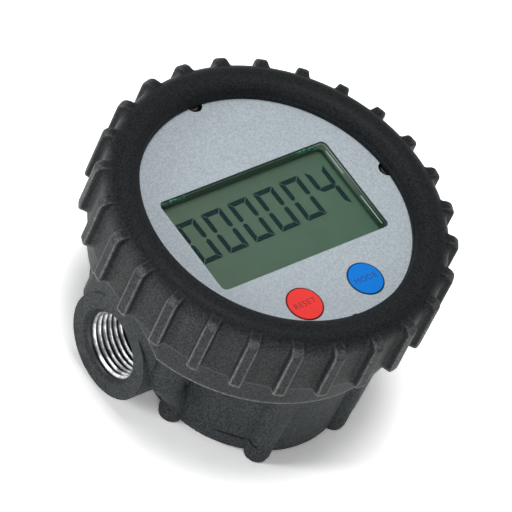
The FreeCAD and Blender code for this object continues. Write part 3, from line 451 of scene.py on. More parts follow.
def rib_outline(height, tip, foot, rounding, fillet, steps=5):
    """Half of a rib's outline as (distance from its middle, height, crease highlight) rows.

    A flat top, an arc round its corner, a straight flank and an arc into the wall. Each arc
    touches both of its lines, so it starts its radius over tan(half the angle) from their meeting.
    The crease highlight, a painted highlight along the rib's corner, is 1 in the middle of the
    corner's arc and 0 elsewhere.
    """
    slope = np.array([foot - tip, -height]) / math.hypot(foot - tip, height)
    bend = math.acos(slope[0])

    def arc(meeting, before, after, radius, turn):
        """Points of the arc between two directions that meet at a point."""
        run = radius * math.tan(turn / 2)
        start = meeting - before * run
        side = np.array([before[1], -before[0]])
        if np.dot(side, after) < 0:
            side = -side
        middle = start + side * radius
        angle = np.linspace(0.0, turn, steps)[:, None]
        return middle - side * radius * np.cos(angle) + before * radius * np.sin(angle)

    top = np.array([1.0, 0.0])
    turned = arc(np.array([tip, height]), top, slope, rounding, bend)
    rooted = arc(np.array([foot, 0.0]), slope, top, fillet, bend)
    flat = np.array([[0.0, height], [turned[0, 0] * 0.6, height]])
    middle = (turned[-1:] + rooted[:1]) / 2
    # where the painted highlight along the rib's corner runs
    crease_highlight = np.zeros(len(flat) + 2 * steps + 1)
    crease_highlight[len(flat):len(flat) + steps] = np.sin(np.linspace(0.0, math.pi, steps))
    return np.column_stack([np.concatenate([flat, turned, middle, rooted]), crease_highlight])


# the boot's columns between ribs and rows on its skirt, as shares, then the turns of its arcs
GAP_SHARES = np.array([0.12, 0.3, 0.5, 0.75, 1.0])
SKIRT_SHARES = (0.12, 0.3, 0.5, 0.7, 0.9)
SKIRT_EDGE = (0.6, 1.1, math.pi / 2)
ROUND_EDGE = (0.5, 1.0, math.pi / 2)
SHOULDER_TURN = math.radians(62)
SHOULDER_STEPS = 16
# the share of the shoulder past which a rib sinks into the wall, and the strength of a full
# crease's painted highlight
RIB_SINK = 0.72
CREASE_HIGHLIGHT = 0.95


def boot_columns(sizes):
    """Angles of the boot's columns, each one's share of a rib's height, and of its crease's
    painted highlight.

    A rib's outline with its mirror image, then the gap to the next rib, once for each rib.
    """
    rise = sizes.rib_reach - sizes.ring_wall_radius
    outline = rib_outline(rise, sizes.rib_tip_width / 2, sizes.rib_foot_width / 2,
                          sizes.rib_soft, sizes.rib_root)
    half = np.arctan2(outline[:, 0], sizes.ring_wall_radius + outline[:, 1])
    pitch = 2 * math.pi / sizes.rib_count
    gap = half[-1] + (pitch / 2 - half[-1]) * GAP_SHARES
    flat = np.zeros(len(gap))
    half = np.concatenate([half, gap])
    one = np.concatenate([-half[-2:0:-1], half])
    turns = np.arange(sizes.rib_count)[:, None] * pitch + sizes.rib_angle
    rows = [np.concatenate([row, flat]) for row in (outline[:, 1] / rise, outline[:, 2])]
    stand, crease_highlight = (np.tile(np.concatenate([row[-2:0:-1], row]), sizes.rib_count) for row in rows)
    return (one[None, :] + turns).ravel(), stand, crease_highlight


def rounded_edge(radius, height, rounding, turn):
    """Place on the arc between a level face and an upright one that would meet at this point."""
    return (radius - rounding + rounding * math.sin(turn),
            height + rounding - rounding * math.cos(turn))


def skirt_rows(sizes):
    """Rows below the ribs' feet: radius, share of the way up to the feet, lift and painted edge
    highlight.
    """
    skirt = sizes.ring_skirt_radius
    band = sizes.ring_band_radius
    edge = sizes.ring_edge
    # the last value of a row is its painted edge highlight, brightest on the rounded lower edge
    rows = [(sizes.ring_bore, 0.0, 0.0, 0.0), (skirt - edge, 0.0, 0.0, 0.4)]
    for turn in SKIRT_EDGE:
        radius, lift = rounded_edge(skirt, 0.0, edge, turn)
        rows.append((radius, 0.0, lift, 1.0))
    rows += [(skirt + (band - skirt) * share, share, 0.0, 0.0) for share in SKIRT_SHARES]
    return rows + [(band, 1.0, -0.25 * MM, 0.0)]


def upper_rows(sizes, foot):
    """Rows from the ribs' feet over the crest and back under the lip.

    The shoulder is an arc on the wall. On a rib it is a straight run, a small arc and a flat top,
    which sinks into the wall's arc.
    """
    def row(plain, ridge=None, painted_light=0.0, dust_light_share=0.0, top_highlight=0.0):
        """Places on the wall and on a rib, an edge's painted highlight, and the shares of dust
        with painted light and of the painted top highlight.
        """
        return (*plain, *(ridge or plain), painted_light, dust_light_share, top_highlight)

    wall = sizes.ring_wall_radius
    reach = sizes.rib_reach
    band = sizes.ring_band_radius
    edge = sizes.ring_edge
    shoulder = sizes.ring_shoulder
    soft = sizes.rib_edge
    turn = RING_TOP - shoulder

    rows = [row((band + 0.15 * MM, foot), (band + 0.3 * MM, foot)),
            row((wall - edge - 0.5 * MM, foot), (wall - edge, foot)),
            row((wall - edge, foot), (reach - soft, foot), painted_light=0.5)]
    # the rounded edges at the ribs' feet carry a painted highlight, begun on the row before them
    rows += [row(rounded_edge(wall, foot, edge, a), rounded_edge(reach, foot, soft, a), painted_light=1.0)
             for a in ROUND_EDGE]
    # the wall and ribs above the feet carry pale dust with painted light
    rows += [row((wall, z), (reach, z), dust_light_share=1.0) for z in np.linspace(foot + 1.2 * MM, turn, 8)]

    def plain_shoulder(angle):
        """Place on the wall's shoulder at this turn."""
        return (wall - shoulder + shoulder * math.cos(angle), turn + shoulder * math.sin(angle))

    rib_top = LABEL_TOP + sizes.rib_rise
    rounding = sizes.rib_rounding
    straight = rib_top - rounding - turn
    bow = rounding * math.pi / 2
    flat = reach - rounding - plain_shoulder(SHOULDER_TURN)[0]
    for up in np.linspace(0.0, 1.0, SHOULDER_STEPS + 1)[1:]:
        plain = plain_shoulder(up * SHOULDER_TURN)
        path = up * (straight + bow + flat)
        top_highlight = 0.0
        if path < straight:
            ridge = (reach, turn + path)
        elif path < straight + bow:
            a = (path - straight) / rounding
            ridge = (reach - rounding + rounding * math.cos(a),
                     rib_top - rounding + rounding * math.sin(a))
            # a painted highlight where the rib's top rounds over
            top_highlight = math.sin(math.pi * (path - straight) / bow)
        else:
            ridge = (reach - rounding - (path - straight - bow), rib_top)
        keep = 1.0 - smoothstep(RIB_SINK, 1.0, up)
        ridge = [p + (r - p) * keep for p, r in zip(plain, ridge)]
        # dust with painted light fades out over the shoulder, leaving the top darker
        rows.append(row(plain, ridge, dust_light_share=1.0 - smoothstep(0.0, 1.0, up), top_highlight=top_highlight))
    rows += [row(plain_shoulder(angle))
             for angle in np.linspace(SHOULDER_TURN, math.pi / 2, 6)[1:]]
    start = wall - shoulder - sizes.ring_crest_width
    lip = sizes.ring_lip_radius
    lip_edge = LABEL_TOP + sizes.ring_lip_edge
    drop = RING_TOP - lip_edge
    across = start - (lip + edge)
    bend = (across ** 2 + drop ** 2) / (2 * drop) if across > drop else sizes.ring_slope
    whole = math.asin(min(across / bend, 1.0))
    rows += [row((start - bend * math.sin(angle), RING_TOP - bend * (1 - math.cos(angle))))
             for angle in np.linspace(0.0, whole, 11)]
    rows += [row(rounded_edge(lip, lip_edge, -edge, a)) for a in ROUND_EDGE]
    under = LABEL_TOP + sizes.ring_play
    return rows + [row((radius, under)) for radius in (lip, lip + 2 * MM, sizes.ring_bore)]


def make_boot(sizes):
    """Ribbed boot: one closed grid of angle times section.

    Each upper row of the section holds a place on the plain wall and one on a rib, and a column
    goes from the first to the second by its share of a rib's height. Rows at the ribs' lower ends
    share a height and differ in radius, which makes the flat feet. Over each port the lowest rows
    follow a circle about the port's axis. The point attribute carries painted light: the largest
    of an edge's painted highlight, the ribs' painted crease and top highlights, and the pale dust,
    which also paints light on the sides and stays off the ribs' shaded flanks.
    """
    angles, stand, crease_highlight = boot_columns(sizes)
    around = np.stack([np.cos(angles), np.sin(angles)], axis=1)
    side = sizes.ring_skirt_radius * around[:, 1]
    arch = PORT_HEIGHT + np.sqrt(np.maximum(sizes.ring_port_arch ** 2 - side ** 2, 0.0))
    bottom = np.where(np.abs(side) < sizes.ring_port_arch, arch, 0.0)
    bottom = np.maximum(bottom, RING_BOTTOM)
    foot = LABEL_TOP - sizes.rib_drop
    # pale dust with painted light: full on the ribs' faces and the wall between them, kept off the
    # ribs' shaded flanks
    dust_light = sizes.rib_dust_light * (0.15 + 0.85 * np.abs(2 * stand - 1) ** 0.5)
    # the larger of the painted highlight along the ribs' corners and the dust with painted light
    crease_dust_light = np.maximum(crease_highlight * CREASE_HIGHLIGHT, dust_light)
    # painted highlight on the ribs' tops, strongest where a rib stands highest
    top_highlights = sizes.rib_top_highlight * stand ** 4
    rows = []
    wear = []
    for radius, up, lift, painted_light in skirt_rows(sizes):
        rows.append(np.column_stack([radius * around, bottom + (foot - bottom) * up + lift]))
        wear.append(np.full(len(angles), max(painted_light, sizes.rib_dust_light)))
    for wall_r, wall_z, rib_r, rib_z, painted_light, dust_light_share, top_highlight in upper_rows(sizes, foot):
        radius = wall_r + (rib_r - wall_r) * stand
        rows.append(np.column_stack([radius[:, None] * around, wall_z + (rib_z - wall_z) * stand]))
        # painted highlight on rounded edges, brighter on the ribs than on the wall between them
        edges = painted_light * (0.35 + 0.65 * stand)
        wear.append(np.maximum(edges, np.maximum(dust_light_share * crease_dust_light, top_highlight * top_highlights)))
    item = new_mesh("boot", np.concatenate(rows), grid_faces(len(rows), len(angles), True))
    mark_points(item, "wear", np.concatenate(wear))
    sharp_by_angle(item, 40)
    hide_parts("guard_ring")
    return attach(item, "housing")


ROUND_STEPS = 96
RECESS_STEPS = 48
CUT_PAST = 4 * MM


def cylinder_cutter(start, end, radius, steps=ROUND_STEPS):
    """Closed cylinder between two points: a prism on a circle square to its axis."""
    spin = (Vector(end) - Vector(start)).to_track_quat("Z", "Y").to_matrix()
    angle = np.linspace(0.0, 2 * math.pi, steps, endpoint=False)
    circle = np.stack([radius * np.cos(angle), radius * np.sin(angle), np.zeros(steps)], axis=1)
    circle = circle @ np.array(spin).T
    points, faces = prism(circle + np.array(start), circle + np.array(end))
    return new_mesh("cutter", points, faces, smooth=False)


def cut_copy(name, node, cutters):
    """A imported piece's copy, less some closed shapes, which takes that piece's place."""
    points, faces = merged_copy(frame["nodes"][node])
    body = new_mesh(name, points, faces, smooth=False)
    for cutter in cutters:
        cut = body.modifiers.new("cut", "BOOLEAN")
        cut.operation = "DIFFERENCE"
        cut.solver = "EXACT"
        cut.object = cutter
    mesh = final_mesh(body)
    mesh.polygons.foreach_set("use_smooth", [True] * len(mesh.polygons))
    body.modifiers.clear()
    body.data = mesh
    for cutter in cutters:
        bpy.data.objects.remove(cutter)
    sharp_by_angle(body, 25)
    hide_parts(node)
    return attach(body, "housing")


def make_casting(sizes):
    """The casting with its bores opened to the roots of their threads."""
    cutters = []
    for mount in PORTS:
        inner, mouth = port_span(mount)
        ends = [(reach * mount["axis"][0], 0.0, PORT_HEIGHT)
                for reach in (inner + sizes.thread_start, mouth + CUT_PAST)]
        cutters.append(cylinder_cutter(*ends, sizes.thread_root))
    return cut_copy("casting", "meter_body", cutters)


def screw_recesses(sizes, bottom):
    """Closed shapes of the four screw recesses that show past the boot's lip."""
    reach = sizes.recess_reach
    top = LABEL_TOP + 1 * MM
    return [cylinder_cutter((x * reach, y * reach, bottom), (x * reach, y * reach, top),
                            sizes.recess_radius, RECESS_STEPS)
            for x, y in ((1, 0), (0, 1), (-1, 0), (0, -1))]


def merged_copy(item):
    """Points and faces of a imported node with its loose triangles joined."""
    work = bmesh.new()
    work.from_mesh(item.data)
    bmesh.ops.remove_doubles(work, verts=work.verts, dist=0.001 * MM)
    points = [tuple(vert.co) for vert in work.verts]
    faces = [[vert.index for vert in face.verts] for face in work.faces]
    work.free()
    return points, faces


def port_span(mount):
    """Distances from the middle to a bore's inner end and to its mouth."""
    middle = mount["pos_m"][0] * mount["axis"][0]
    half = mount["dims"]["length_mm"] * MM / 2
    return middle - half, middle + half


THREAD_STEPS = 16
THREAD_FADE = 1.2 * MM
THREAD_CLEAR = 0.03 * MM


def make_thread(name, mount, sizes):
    """Pipe thread in a port: a helical sheet of angle times length.

    The radius swings between root and crest as a rounded triangle wave of the length along the
    axis less the helix's own advance. It fades to the root at the inner end, and a 45 degree
    chamfer cuts it at the mouth. The depth attribute is 0 on a crest and 1 at a root or chamfer.
    """
    side = mount["axis"][0]
    inner, mouth = port_span(mount)
    inner += sizes.thread_start
    face = mouth + sizes.port_mouth - BORE
    length = face - (sizes.port_mouth - sizes.thread_root) - inner
    root = sizes.thread_root - THREAD_CLEAR
    crest = root - sizes.thread_depth
    steps_along = int(length / sizes.thread_pitch * THREAD_STEPS)
    along = np.linspace(0.0, length, steps_along)
    angle = np.arange(ROUND_STEPS) * 2 * math.pi / ROUND_STEPS
    along, angle = np.meshgrid(along, angle, indexing="ij")
    turn = (along / sizes.thread_pitch - angle / (2 * math.pi)) % 1.0
    wave = 1 - np.abs(2 * turn - 1)
    # mostly a straight flank, with a share of a soft one that rounds crest and root
    ridge = smoothstep(0.08, 0.92, wave) * 0.35 + np.clip((wave - 0.1) / 0.8, 0, 1) * 0.65
    height = (root - crest) * ridge * smoothstep(0.0, THREAD_FADE, along)
    chamfer = length - along
    radius = root - np.minimum(height, chamfer)
    # 1 in the valleys and on the chamfer, where the finish paints shade
    valley_shade = np.where(chamfer < height + 0.1 * MM, 1.0, 1.0 - height / (root - crest))
    points = np.stack([(inner + along) * side, radius * np.cos(angle) * side,
                       radius * np.sin(angle) + PORT_HEIGHT], axis=2)
    item = new_mesh(name, points, grid_faces(steps_along, ROUND_STEPS)[:, ::-1])
    mark_points(item, "depth", valley_shade)
    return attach(item, "housing")


SEGMENTS = {"0": "abcdef", "1": "bc", "2": "abged", "3": "abgcd", "4": "fgbc", "5": "afgcd",
            "6": "afgedc", "7": "abc", "8": "abcdefg", "9": "abcdfg"}
INK_THICKNESS = 0.04 * MM
LETTER_LIFT = 0.012 * MM
TIP_GAP = 1.4
POINT_SLANT = 0.6
LETTER_SIZE = 1.45
LETTER_SPACING = 1.15


def segment_outlines(width, height, stroke, gap):
    """Corner points of the seven segments in a digit's own box, each with slanted ends.

    The top, upper left and middle ones are given, and the others are their mirror images.
    """
    half = height / 2
    inner = width - stroke
    mid = stroke / 2
    tip = gap * TIP_GAP
    point = gap + mid * POINT_SLANT
    top = np.array([(gap, height), (width - gap, height), (inner - gap, height - stroke),
                    (stroke + gap, height - stroke)])
    left = np.array([(0, height - gap), (stroke, height - stroke - gap),
                     (stroke, half + mid + gap), (mid, half + tip), (0, half + mid)])
    middle = np.array([(point, half), (stroke + gap, half + mid), (inner - gap, half + mid),
                       (width - point, half), (inner - gap, half - mid),
                       (stroke + gap, half - mid)])
    return {"a": top, "d": (0, height) + top * (1, -1), "g": middle, "f": left,
            "e": (0, height) + left * (1, -1), "b": (width, 0) + left * (-1, 1),
            "c": (width, height) - left}


def make_digits(sizes):
    """The reading as thin seven-segment shapes on the display, in one slightly turned row."""
    outlines = segment_outlines(sizes.digit_width, sizes.digit_height, sizes.digit_stroke,
                                sizes.digit_gap)
    bottom = PANEL_TOP + HAIR
    top = bottom + INK_THICKNESS
    turn = sizes.digit_turn
    along = np.array([[math.cos(turn), math.sin(turn)], [-math.sin(turn), math.cos(turn)]])
    points = []
    faces = []
    for number, character in enumerate(sizes.reading):
        for key in SEGMENTS[character]:
            corners = outlines[key] + (sizes.digit_pitch * number, 0.0)
            flat = corners @ along + (sizes.digit_x, sizes.digit_y)
            after = np.roll(flat, -1, axis=0)
            if np.sum(flat[:, 0] * after[:, 1] - flat[:, 1] * after[:, 0]) < 0:
                flat = flat[::-1]
            segment, sides = prism(at_height(flat, bottom), at_height(flat, top))
            faces += [[len(points) + corner for corner in face] for face in sides]
            points += list(segment)
    item = new_mesh("display_digits", points, faces, smooth=False)
    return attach(item, "housing")


def make_word(name, text, node, height, turn):
    """A word printed on a key: thin letters in the key's middle, turned about +Z.

    The font's size is a fixed multiple of its capitals' height.
    """
    low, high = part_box(node)
    curve = bpy.data.curves.new(name, "FONT")
    curve.body = text
    curve.align_x = "CENTER"
    curve.align_y = "CENTER"
    curve.size = height * LETTER_SIZE
    curve.space_character = LETTER_SPACING
    curve.extrude = HAIR
    carrier = add_object(name + "_outline", curve)
    mesh = final_mesh(carrier)
    bpy.data.objects.remove(carrier)
    middle = Vector(((low.x + high.x) / 2, (low.y + high.y) / 2, high.z + LETTER_LIFT))
    mesh.transform(Matrix.Translation(middle) @ Matrix.Rotation(turn, 4, "Z"))
    item = add_object(name, mesh)
    return item


def rounded_outline(width, height, corner, centre, steps=10):
    """Points round a rectangle whose corners are quarter circles, anticlockwise."""
    quarter = np.linspace(0.0, math.pi / 2, steps)
    reach = np.array([width, height]) / 2 - corner
    points = []
    for turn, signs in enumerate(((1, 1), (-1, 1), (-1, -1), (1, -1))):
        angle = quarter + turn * math.pi / 2
        around = np.stack([np.cos(angle), np.sin(angle)], axis=1)
        points.append(centre + signs * reach + corner * around)
    return np.concatenate(points)


def make_window(sizes):
    """The window as a face plate over a ring of moulded sides.

    The ring is a grid of outline times section: foot, inner wall, top and outer wall, closed on
    itself. The plate is a prism on the same outline.
    """
    low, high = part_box("lcd_window")
    centre = ((low.x + high.x) / 2, (low.y + high.y) / 2)
    width = high.x - low.x - 2 * (sizes.window_ledge + sizes.window_play)
    height = high.y - low.y - 2 * (sizes.window_ledge + sizes.window_play)
    wall = sizes.window_wall
    corner = sizes.window_corner
    outer = rounded_outline(width, height, corner, centre)
    inner = rounded_outline(width - 2 * wall, height - 2 * wall, corner - wall, centre)
    plate_low = high.z - sizes.window_plate
    section = ((outer, low.z), (inner, low.z), (inner, plate_low), (outer, plate_low))
    rows = [at_height(ring, level) for ring, level in section]
    sides = new_mesh("window_sides", np.concatenate(rows),
                     grid_faces(len(rows), len(outer), True)[:, ::-1])
    sharp_by_angle(sides, 40)
    points, faces = prism(at_height(outer, plate_low + HAIR), at_height(outer, high.z))
    plate = new_mesh("window_face", points, faces, smooth=False)
    for piece in (sides, plate):
        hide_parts("lcd_window")
        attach(piece, "housing")
    return sides, plate


# Settings

def span(name, description, default):
    """A length that a user would change, given in millimetres."""
    return FloatProperty(name=name, description=description, default=default * MM, unit="LENGTH")


def turn_about(name, description, degrees):
    """An angle that a user would change."""
    return FloatProperty(name=name, description=description, default=math.radians(degrees),
                         subtype="ANGLE")


def swatch(name, description, default):
    """A colour that a user would change."""
    return FloatVectorProperty(name=name, description=description, default=default, size=3,
                               subtype="COLOR", min=0.0, max=1.0)


class OilMeterSizes(bpy.types.PropertyGroup):
    """Sizes of the fine pieces that a user would change."""

    rib_count: IntProperty(name="Ribs", description="Grip ribs round the boot", default=26)
    rib_angle: turn_about("First rib", "Direction of the first rib", 59.6)
    rib_reach: span("Rib reach", "Radius over the ribs", 52.5)
    rib_tip_width: span("Rib tip", "Rib width at its face", 3.2)
    rib_foot_width: span("Rib root", "Rib width at the wall", 4.4)
    rib_drop: span("Rib drop", "Label down to the ribs' lower ends", 14.5)
    rib_rise: span("Rib rise", "Ribs above the label", 4.4)
    rib_rounding: span("Rib rounding", "Rounding of the ribs' shoulders", 2.5)
    rib_soft: span("Rib corners", "Rounding along the ribs' faces", 0.75)
    rib_root: span("Rib roots", "Rounding between rib and wall", 0.7)
    rib_edge: span("Rib feet", "Rounding of the ribs' lower edges", 0.35)
    # pale dust that also paints the light on the boot's sides
    rib_dust_light: FloatProperty(name="Dust and light", description="Share of pale dust on the boot's sides",
                            default=0.2, subtype="FACTOR")
    # strength of the painted highlight on the ribs' tops
    rib_top_highlight: FloatProperty(name="Painted top highlight", description="How bright the painted highlight on the ribs' tops is",
                           default=0.42, subtype="FACTOR")
    ring_edge: span("Boot edges", "Rounding of the boot's lower edge and lip", 0.5)
    ring_bore: span("Boot bore", "Inside radius of the boot", 45.6)
    ring_wall_radius: span("Boot wall", "Radius between the ribs", 50.0)
    ring_band_radius: span("Band", "Radius just below the ribs", 48.2)
    ring_skirt_radius: span("Skirt", "Radius at the lower edge", 47.0)
    ring_shoulder: span("Shoulder", "Rounding outside the crest", 5.2)
    ring_crest_width: span("Crest flat", "Flat of the crest", 0.8)
    ring_slope: span("Slope", "Rounding from the crest to the lip", 5.2)
    ring_lip_radius: span("Lip", "Opening over the label", 39.7)
    ring_lip_edge: span("Lip edge", "Lip's edge above the label", 1.9)
    ring_play: span("Lip gap", "Gap between lip and label", 0.1)
    ring_port_arch: span("Port arch", "Radius of the arch over a port", 20.9)
    thread_pitch: span("Pitch", "Port thread's pitch", 1.814)
    thread_depth: span("Thread depth", "Port thread's depth", 1.16)
    thread_start: span("Thread start", "Plain bore behind the thread", 0.2)
    thread_root: span("Thread root", "Radius of the thread's roots", BORE / MM + 1.16)
    port_mouth: span("Port mouth", "Radius of the chamfered mouth", 11.17)
    recess_reach: span("Screw recesses", "Screw recesses from the middle", 40.4)
    recess_radius: span("Recess radius", "Radius of the screw recesses", 2.5)
    recess_depth: span("Recess depth", "Depth of the screw recesses", 2.2)
    window_ledge: span("Window flange", "Flange round the window", 1.3)
    window_play: span("Window play", "Gap round the window", 0.1)
    window_wall: span("Window sides", "Thickness of the window's sides", 0.35)
    window_plate: span("Window face", "Thickness of the window's face", 0.5)
    window_corner: span("Window corners", "Rounding of the window's corners", 1.7)
    word_height: span("Words", "Height of the words on the keys", 1.75)
    word_turn: turn_about("Words' turn", "Turn of the words on the keys", 1.0)
    reading: StringProperty(name="Reading", description="Digits on the display", default="000004")
    digit_x: span("Digit X", "Left edge of the first digit", -27.5)
    digit_y: span("Digit Y", "Lower edge of the first digit", -5.1)
    digit_pitch: span("Digit pitch", "Distance between digits", 9.4)
    digit_width: span("Digit width", "Width of a digit", 7.0)
    digit_height: span("Digit height", "Height of a digit", 14.5)
    digit_stroke: span("Stroke", "Thickness of a segment", 1.55)
    digit_gap: span("Segment gap", "Gap between segments", 0.16)
    digit_turn: turn_about("Turn", "Turn of the display in its window", 1.1)


class OilMeterColours(bpy.types.PropertyGroup):
    """Colours that a user would change."""

    rubber: swatch("Rubber", "Moulded boot", (0.0072, 0.0085, 0.0094))
    # pale colour of the boot's painted highlights and of its dust
    rubber_highlight_dust: swatch("Worn rubber", "Rubbed edges of the boot", (0.18, 0.19, 0.19))
    paint: swatch("Paint", "Textured paint on the casting", (0.030, 0.0345, 0.0365))
    label: swatch("Label", "Face film", (0.375, 0.425, 0.46))
    red_key: swatch("Red key", "Left key", (0.85, 0.045, 0.04))
    blue_key: swatch("Blue key", "Right key", (0.0, 0.185, 0.66))
    red_word: swatch("Red key's word", "Print on the left key", (0.16, 0.008, 0.015))
    blue_word: swatch("Blue key's word", "Print on the right key", (0.0, 0.04, 0.18))
    display_cool: swatch("Display, cool", "Display at its left", (0.075, 0.115, 0.085))
    display_warm: swatch("Display, warm", "Display at its right", (0.055, 0.11, 0.075))
    segments: swatch("Segments", "Dark segments", (0.010, 0.024, 0.028))
    pane_side: swatch("Window sides", "Sides of the window", (0.03, 0.075, 0.05))
    pane_line: swatch("Window lines", "Mould lines round its sides", (0.008, 0.02, 0.014))
    pane_pale: swatch("Window's right side", "Light on its right side", (0.2, 0.25, 0.22))
    pane_glint: swatch("Window glints", "Light caught in its sides", (0.1, 0.55, 0.36))


# Operators

class OILMETER_OT_boot(bpy.types.Operator):
    """Build the ribbed boot."""

    bl_idname = "oilmeter.boot"
    bl_label = "Ribbed Boot"

    def execute(self, context):
        scene = context.scene
        paint(make_boot(scene.oilmeter_sizes), boot_rubber(scene.oilmeter_colours))
        return {"FINISHED"}


class OILMETER_OT_body(bpy.types.Operator):
    """Paint the casting and its cap, and finish the screws and seals."""

    bl_idname = "oilmeter.body"
    bl_label = "Casting and Cap"

    def execute(self, context):
        colours = context.scene.oilmeter_colours
        casting = make_casting(context.scene.oilmeter_sizes)
        paint(casting, casting_paint("body_paint", colours, 0.5))
        paint_packed(casting_paint("cap_paint", colours, 0.4), "bottom_cap")
        paint_packed(plain_metal("screw_steel", (0.03, 0.03, 0.032), (0.06, 0.06, 0.065), 0.3),
                     "cap_screws")
        paint_packed(moulded_plastic("seal_rubber", (0.02, 0.02, 0.02), 0.5),
                     "register_seal", "chamber_seal", "cover_gasket")
        return {"FINISHED"}


class OILMETER_OT_threads(bpy.types.Operator):
    """Cut the threads of both ports."""

    bl_idname = "oilmeter.threads"
    bl_label = "Port Threads"

    def execute(self, context):
        finish = bare_thread()
        for mount in PORTS:
            name = f"thread_{mount['name']}"
            paint(make_thread(name, mount, context.scene.oilmeter_sizes), finish)
        return {"FINISHED"}


class OILMETER_OT_face(bpy.types.Operator):
    """Finish the label, the keys, the cover and its screws."""

    bl_idname = "oilmeter.face"
    bl_label = "Label and Keys"

    def execute(self, context):
        colours = context.scene.oilmeter_colours
        sizes = context.scene.oilmeter_sizes
        label_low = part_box("face_label")[0].z
        label = cut_copy("face_film", "face_label", screw_recesses(sizes, label_low - 1 * MM))
        paint(label, label_film(colours))
        keys = (("reset_word", "RESET", "reset_button", "key_red", "reset_key",
                 colours.red_key, colours.red_word),
                ("mode_word", "MODE", "total_button", "key_blue", "total_key",
                 colours.blue_key, colours.blue_word))
        for name, text, node, slot, body, face, print_tone in keys:
            paint_packed(key_finish(node, face), node)
            word = make_word(name, text, node, sizes.word_height, sizes.word_turn)
            paint(word, ink(name + "_ink", print_tone, 0.4, 2.0, 0.35, 0.5))
            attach(word, body)
        plastic = moulded_plastic("cover_plastic", (0.02, 0.02, 0.022), 0.5)
        cover = cut_copy("cover", "register_cover",
                         screw_recesses(sizes, label_low - sizes.recess_depth))
        paint(cover, plastic)
        paint_packed(plastic, "register_base")
        paint_packed(plain_metal("cover_screw_steel", (0.1, 0.1, 0.1), (0.2, 0.2, 0.21), 0.35),
                     "register_screws")
        return {"FINISHED"}


class OILMETER_OT_display(bpy.types.Operator):
    """Build the display's reading and finish its glass, frame and window."""

    bl_idname = "oilmeter.display"
    bl_label = "Display"

    def execute(self, context):
        scene = context.scene
        paint_packed(display_finish(scene.oilmeter_colours), "lcd_panel")
        paint(make_digits(scene.oilmeter_sizes),
              ink("segment_ink", scene.oilmeter_colours.segments, 1.2, 3.0, 0.05, 0.45))
        sides, plate = make_window(scene.oilmeter_sizes)
        paint(sides, window_sides(scene.oilmeter_colours))
        paint(plate, clear_pane())
        paint_packed(moulded_plastic("frame_plastic", (0.5, 0.5, 0.48)), "lcd_frame")
        paint_packed(moulded_plastic("strip_rubber", (0.1, 0.1, 0.11)), "contact_strips")
        return {"FINISHED"}


class OILMETER_OT_inside(bpy.types.Operator):
    """Finish the pieces inside: board, cells, sensor and gears."""

    bl_idname = "oilmeter.inside"
    bl_label = "Inner Pieces"

    def execute(self, context):
        paint_packed(board_finish(), "circuit_board")
        paint_packed(moulded_plastic("inner_plastic", (0.03, 0.03, 0.03)),
                     "key_switches", "battery_holder", "pulse_sensor")
        paint_packed(plain_metal("inner_steel", (0.45, 0.45, 0.46), (0.62, 0.62, 0.64), 0.25),
                     "board_screws", "battery_contacts", "drive_pin", "idle_pin", "gear_magnets")
        paint_packed(moulded_plastic("cell_jacket", (0.06, 0.07, 0.08), 0.3),
                     "battery_front", "battery_rear")
        paint_packed(moulded_plastic("gear_polymer", (0.03, 0.03, 0.034), 0.4),
                     "drive_gear", "idle_gear")
        paint_packed(plain_metal("bush_brass", (0.5, 0.33, 0.12), (0.68, 0.47, 0.2), 0.25),
                     "drive_bush", "idle_bush")
        return {"FINISHED"}


CAMERA_RAY = 0
GLOSSY_RAY = 3
TRANSMISSION_RAY = 6
WORLD_LIGHT = 0.12
FLOOR_REACH = 3.0
FRAME_PIXELS = 512.0
FOCAL_PIXELS = 5000.0
SENSOR = 36.0
CAMERA_PLACE = (-777.3, -518.8, 1010.7)
CAMERA_RIGHT = (0.771, -0.5624, 0.2989)
CAMERA_BACK = (-0.559, -0.3726, 0.7408)
LAMP_AIM = (0.0, 0.0, 0.03)
LAMPS = (("top_lamp", (0.02, 0.1, 1.0), (0.5, 0.5), 7.2),
         ("front_lamp", (-0.6, -0.62, 0.26), (0.5, 0.3), 3.5),
         ("side_lamp", (-0.75, 0.35, 0.3), (0.2, 0.3), 3.4))


def area_light(name, place, size, power):
    """Soft rectangular lamp that looks at the meter."""
    light = bpy.data.lights.new(name, "AREA")
    light.shape = "RECTANGLE"
    light.size, light.size_y = size
    light.energy = power
    item = add_object(name, light)
    item.location = place
    item.rotation_mode = "QUATERNION"
    item.rotation_quaternion = (Vector(LAMP_AIM) - Vector(place)).to_track_quat("-Z", "Y")


def seen_rays(start):
    """1 for rays from the camera and on from shiny or clear surfaces, and 0 for all others."""
    seen = start.node("ShaderNodeLightPath", output=CAMERA_RAY)
    for output in (GLOSSY_RAY, TRANSMISSION_RAY):
        seen = seen.math("MAXIMUM", seen, start.node("ShaderNodeLightPath", output=output))
    return seen


def studio_world():
    """White where it is seen or mirrored, and a low even light on the meter."""
    world = bpy.data.worlds.new("studio")
    world.use_nodes = True
    tree = world.node_tree
    background = next(n for n in tree.nodes if n.type == "BACKGROUND")
    feed(background.inputs["Color"], (1.0, 1.0, 1.0))
    feed(background.inputs["Strength"],
         seen_rays(Shade(tree, None)) * (1.0 - WORLD_LIGHT) + WORLD_LIGHT)
    return world


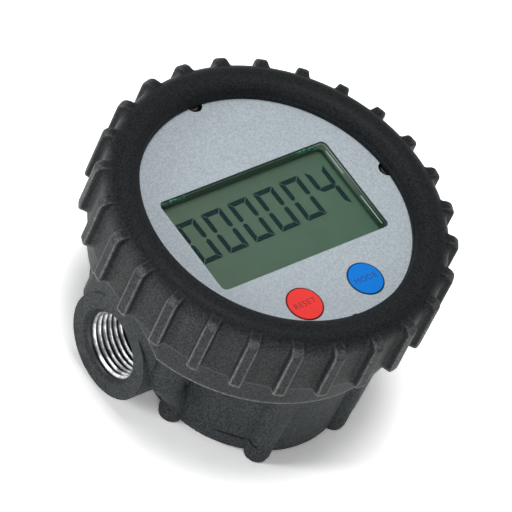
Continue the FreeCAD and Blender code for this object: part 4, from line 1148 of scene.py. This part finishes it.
def studio_camera():
    """Camera at the fitted place, with the focal length in pixels of the fitted frame."""
    camera = bpy.data.cameras.new("camera")
    camera.sensor_width = SENSOR
    camera.lens = FOCAL_PIXELS / FRAME_PIXELS * SENSOR
    camera.clip_start = 0.1
    camera.clip_end = 20.0
    item = add_object("camera", camera)
    right = Vector(CAMERA_RIGHT).normalized()
    back = Vector(CAMERA_BACK).normalized()
    up = back.cross(right).normalized()
    right = up.cross(back)
    place = Vector(CAMERA_PLACE) * MM + Vector((0, 0, LABEL_TOP))
    turn = Matrix((right, up, back)).transposed().to_4x4()
    item.matrix_world = Matrix.Translation(place) @ turn
    return item


def floor_finish():
    """White floor that takes the object's shadow, lifted to plain white where it is seen."""
    made = Finish("floor_white", Roughness=0.9, Specular_IOR_Level=0.0)
    seen = seen_rays(made.place)
    made.set(Base_Color=seen.mixed((0.85, 0.85, 0.85), (1.85, 1.85, 1.85)))
    return made.material


class OILMETER_OT_stage(bpy.types.Operator):
    """Set the floor, the lamps, the world and the camera."""

    bl_idname = "oilmeter.stage"
    bl_label = "Stage"

    def execute(self, context):
        scene = context.scene
        scene.view_settings.view_transform = "Standard"
        corners = [(x * FLOOR_REACH, y * FLOOR_REACH, -0.2 * MM)
                   for x, y in ((-1, -1), (1, -1), (1, 1), (-1, 1))]
        floor = paint(new_mesh("floor", corners, [(0, 1, 2, 3)]), floor_finish())
        scene.world = studio_world()
        scene.camera = studio_camera()
        for lamp in LAMPS:
            area_light(*lamp)
        return {"FINISHED"}


class OILMETER_PT_panel(bpy.types.Panel):
    """Lists the meter's pieces."""

    bl_idname = "OILMETER_PT_panel"
    bl_label = "Oil Meter"
    bl_space_type = "VIEW_3D"
    bl_region_type = "UI"
    bl_category = "Oil Meter"

    def draw(self, context):
        for operator in OPERATORS:
            self.layout.operator(operator.bl_idname)


OPERATORS = (OILMETER_OT_boot, OILMETER_OT_body, OILMETER_OT_threads, OILMETER_OT_face,
             OILMETER_OT_display, OILMETER_OT_inside, OILMETER_OT_stage)
CLASSES = (OilMeterSizes, OilMeterColours, *OPERATORS, OILMETER_PT_panel)


def register():
    """Add the classes and the settings to Blender."""
    for item in CLASSES:
        bpy.utils.register_class(item)
    bpy.types.Scene.oilmeter_sizes = PointerProperty(type=OilMeterSizes)
    bpy.types.Scene.oilmeter_colours = PointerProperty(type=OilMeterColours)


def unregister():
    """Take the settings and the classes out again."""
    del bpy.types.Scene.oilmeter_colours
    del bpy.types.Scene.oilmeter_sizes
    for item in reversed(CLASSES):
        bpy.utils.unregister_class(item)


def main():
    """Dress the meter."""
    register()
    bpy.ops.oilmeter.boot()
    bpy.ops.oilmeter.body()
    bpy.ops.oilmeter.threads()
    bpy.ops.oilmeter.face()
    bpy.ops.oilmeter.display()
    bpy.ops.oilmeter.inside()
    bpy.ops.oilmeter.stage()


if __name__ == "__main__":
    main()
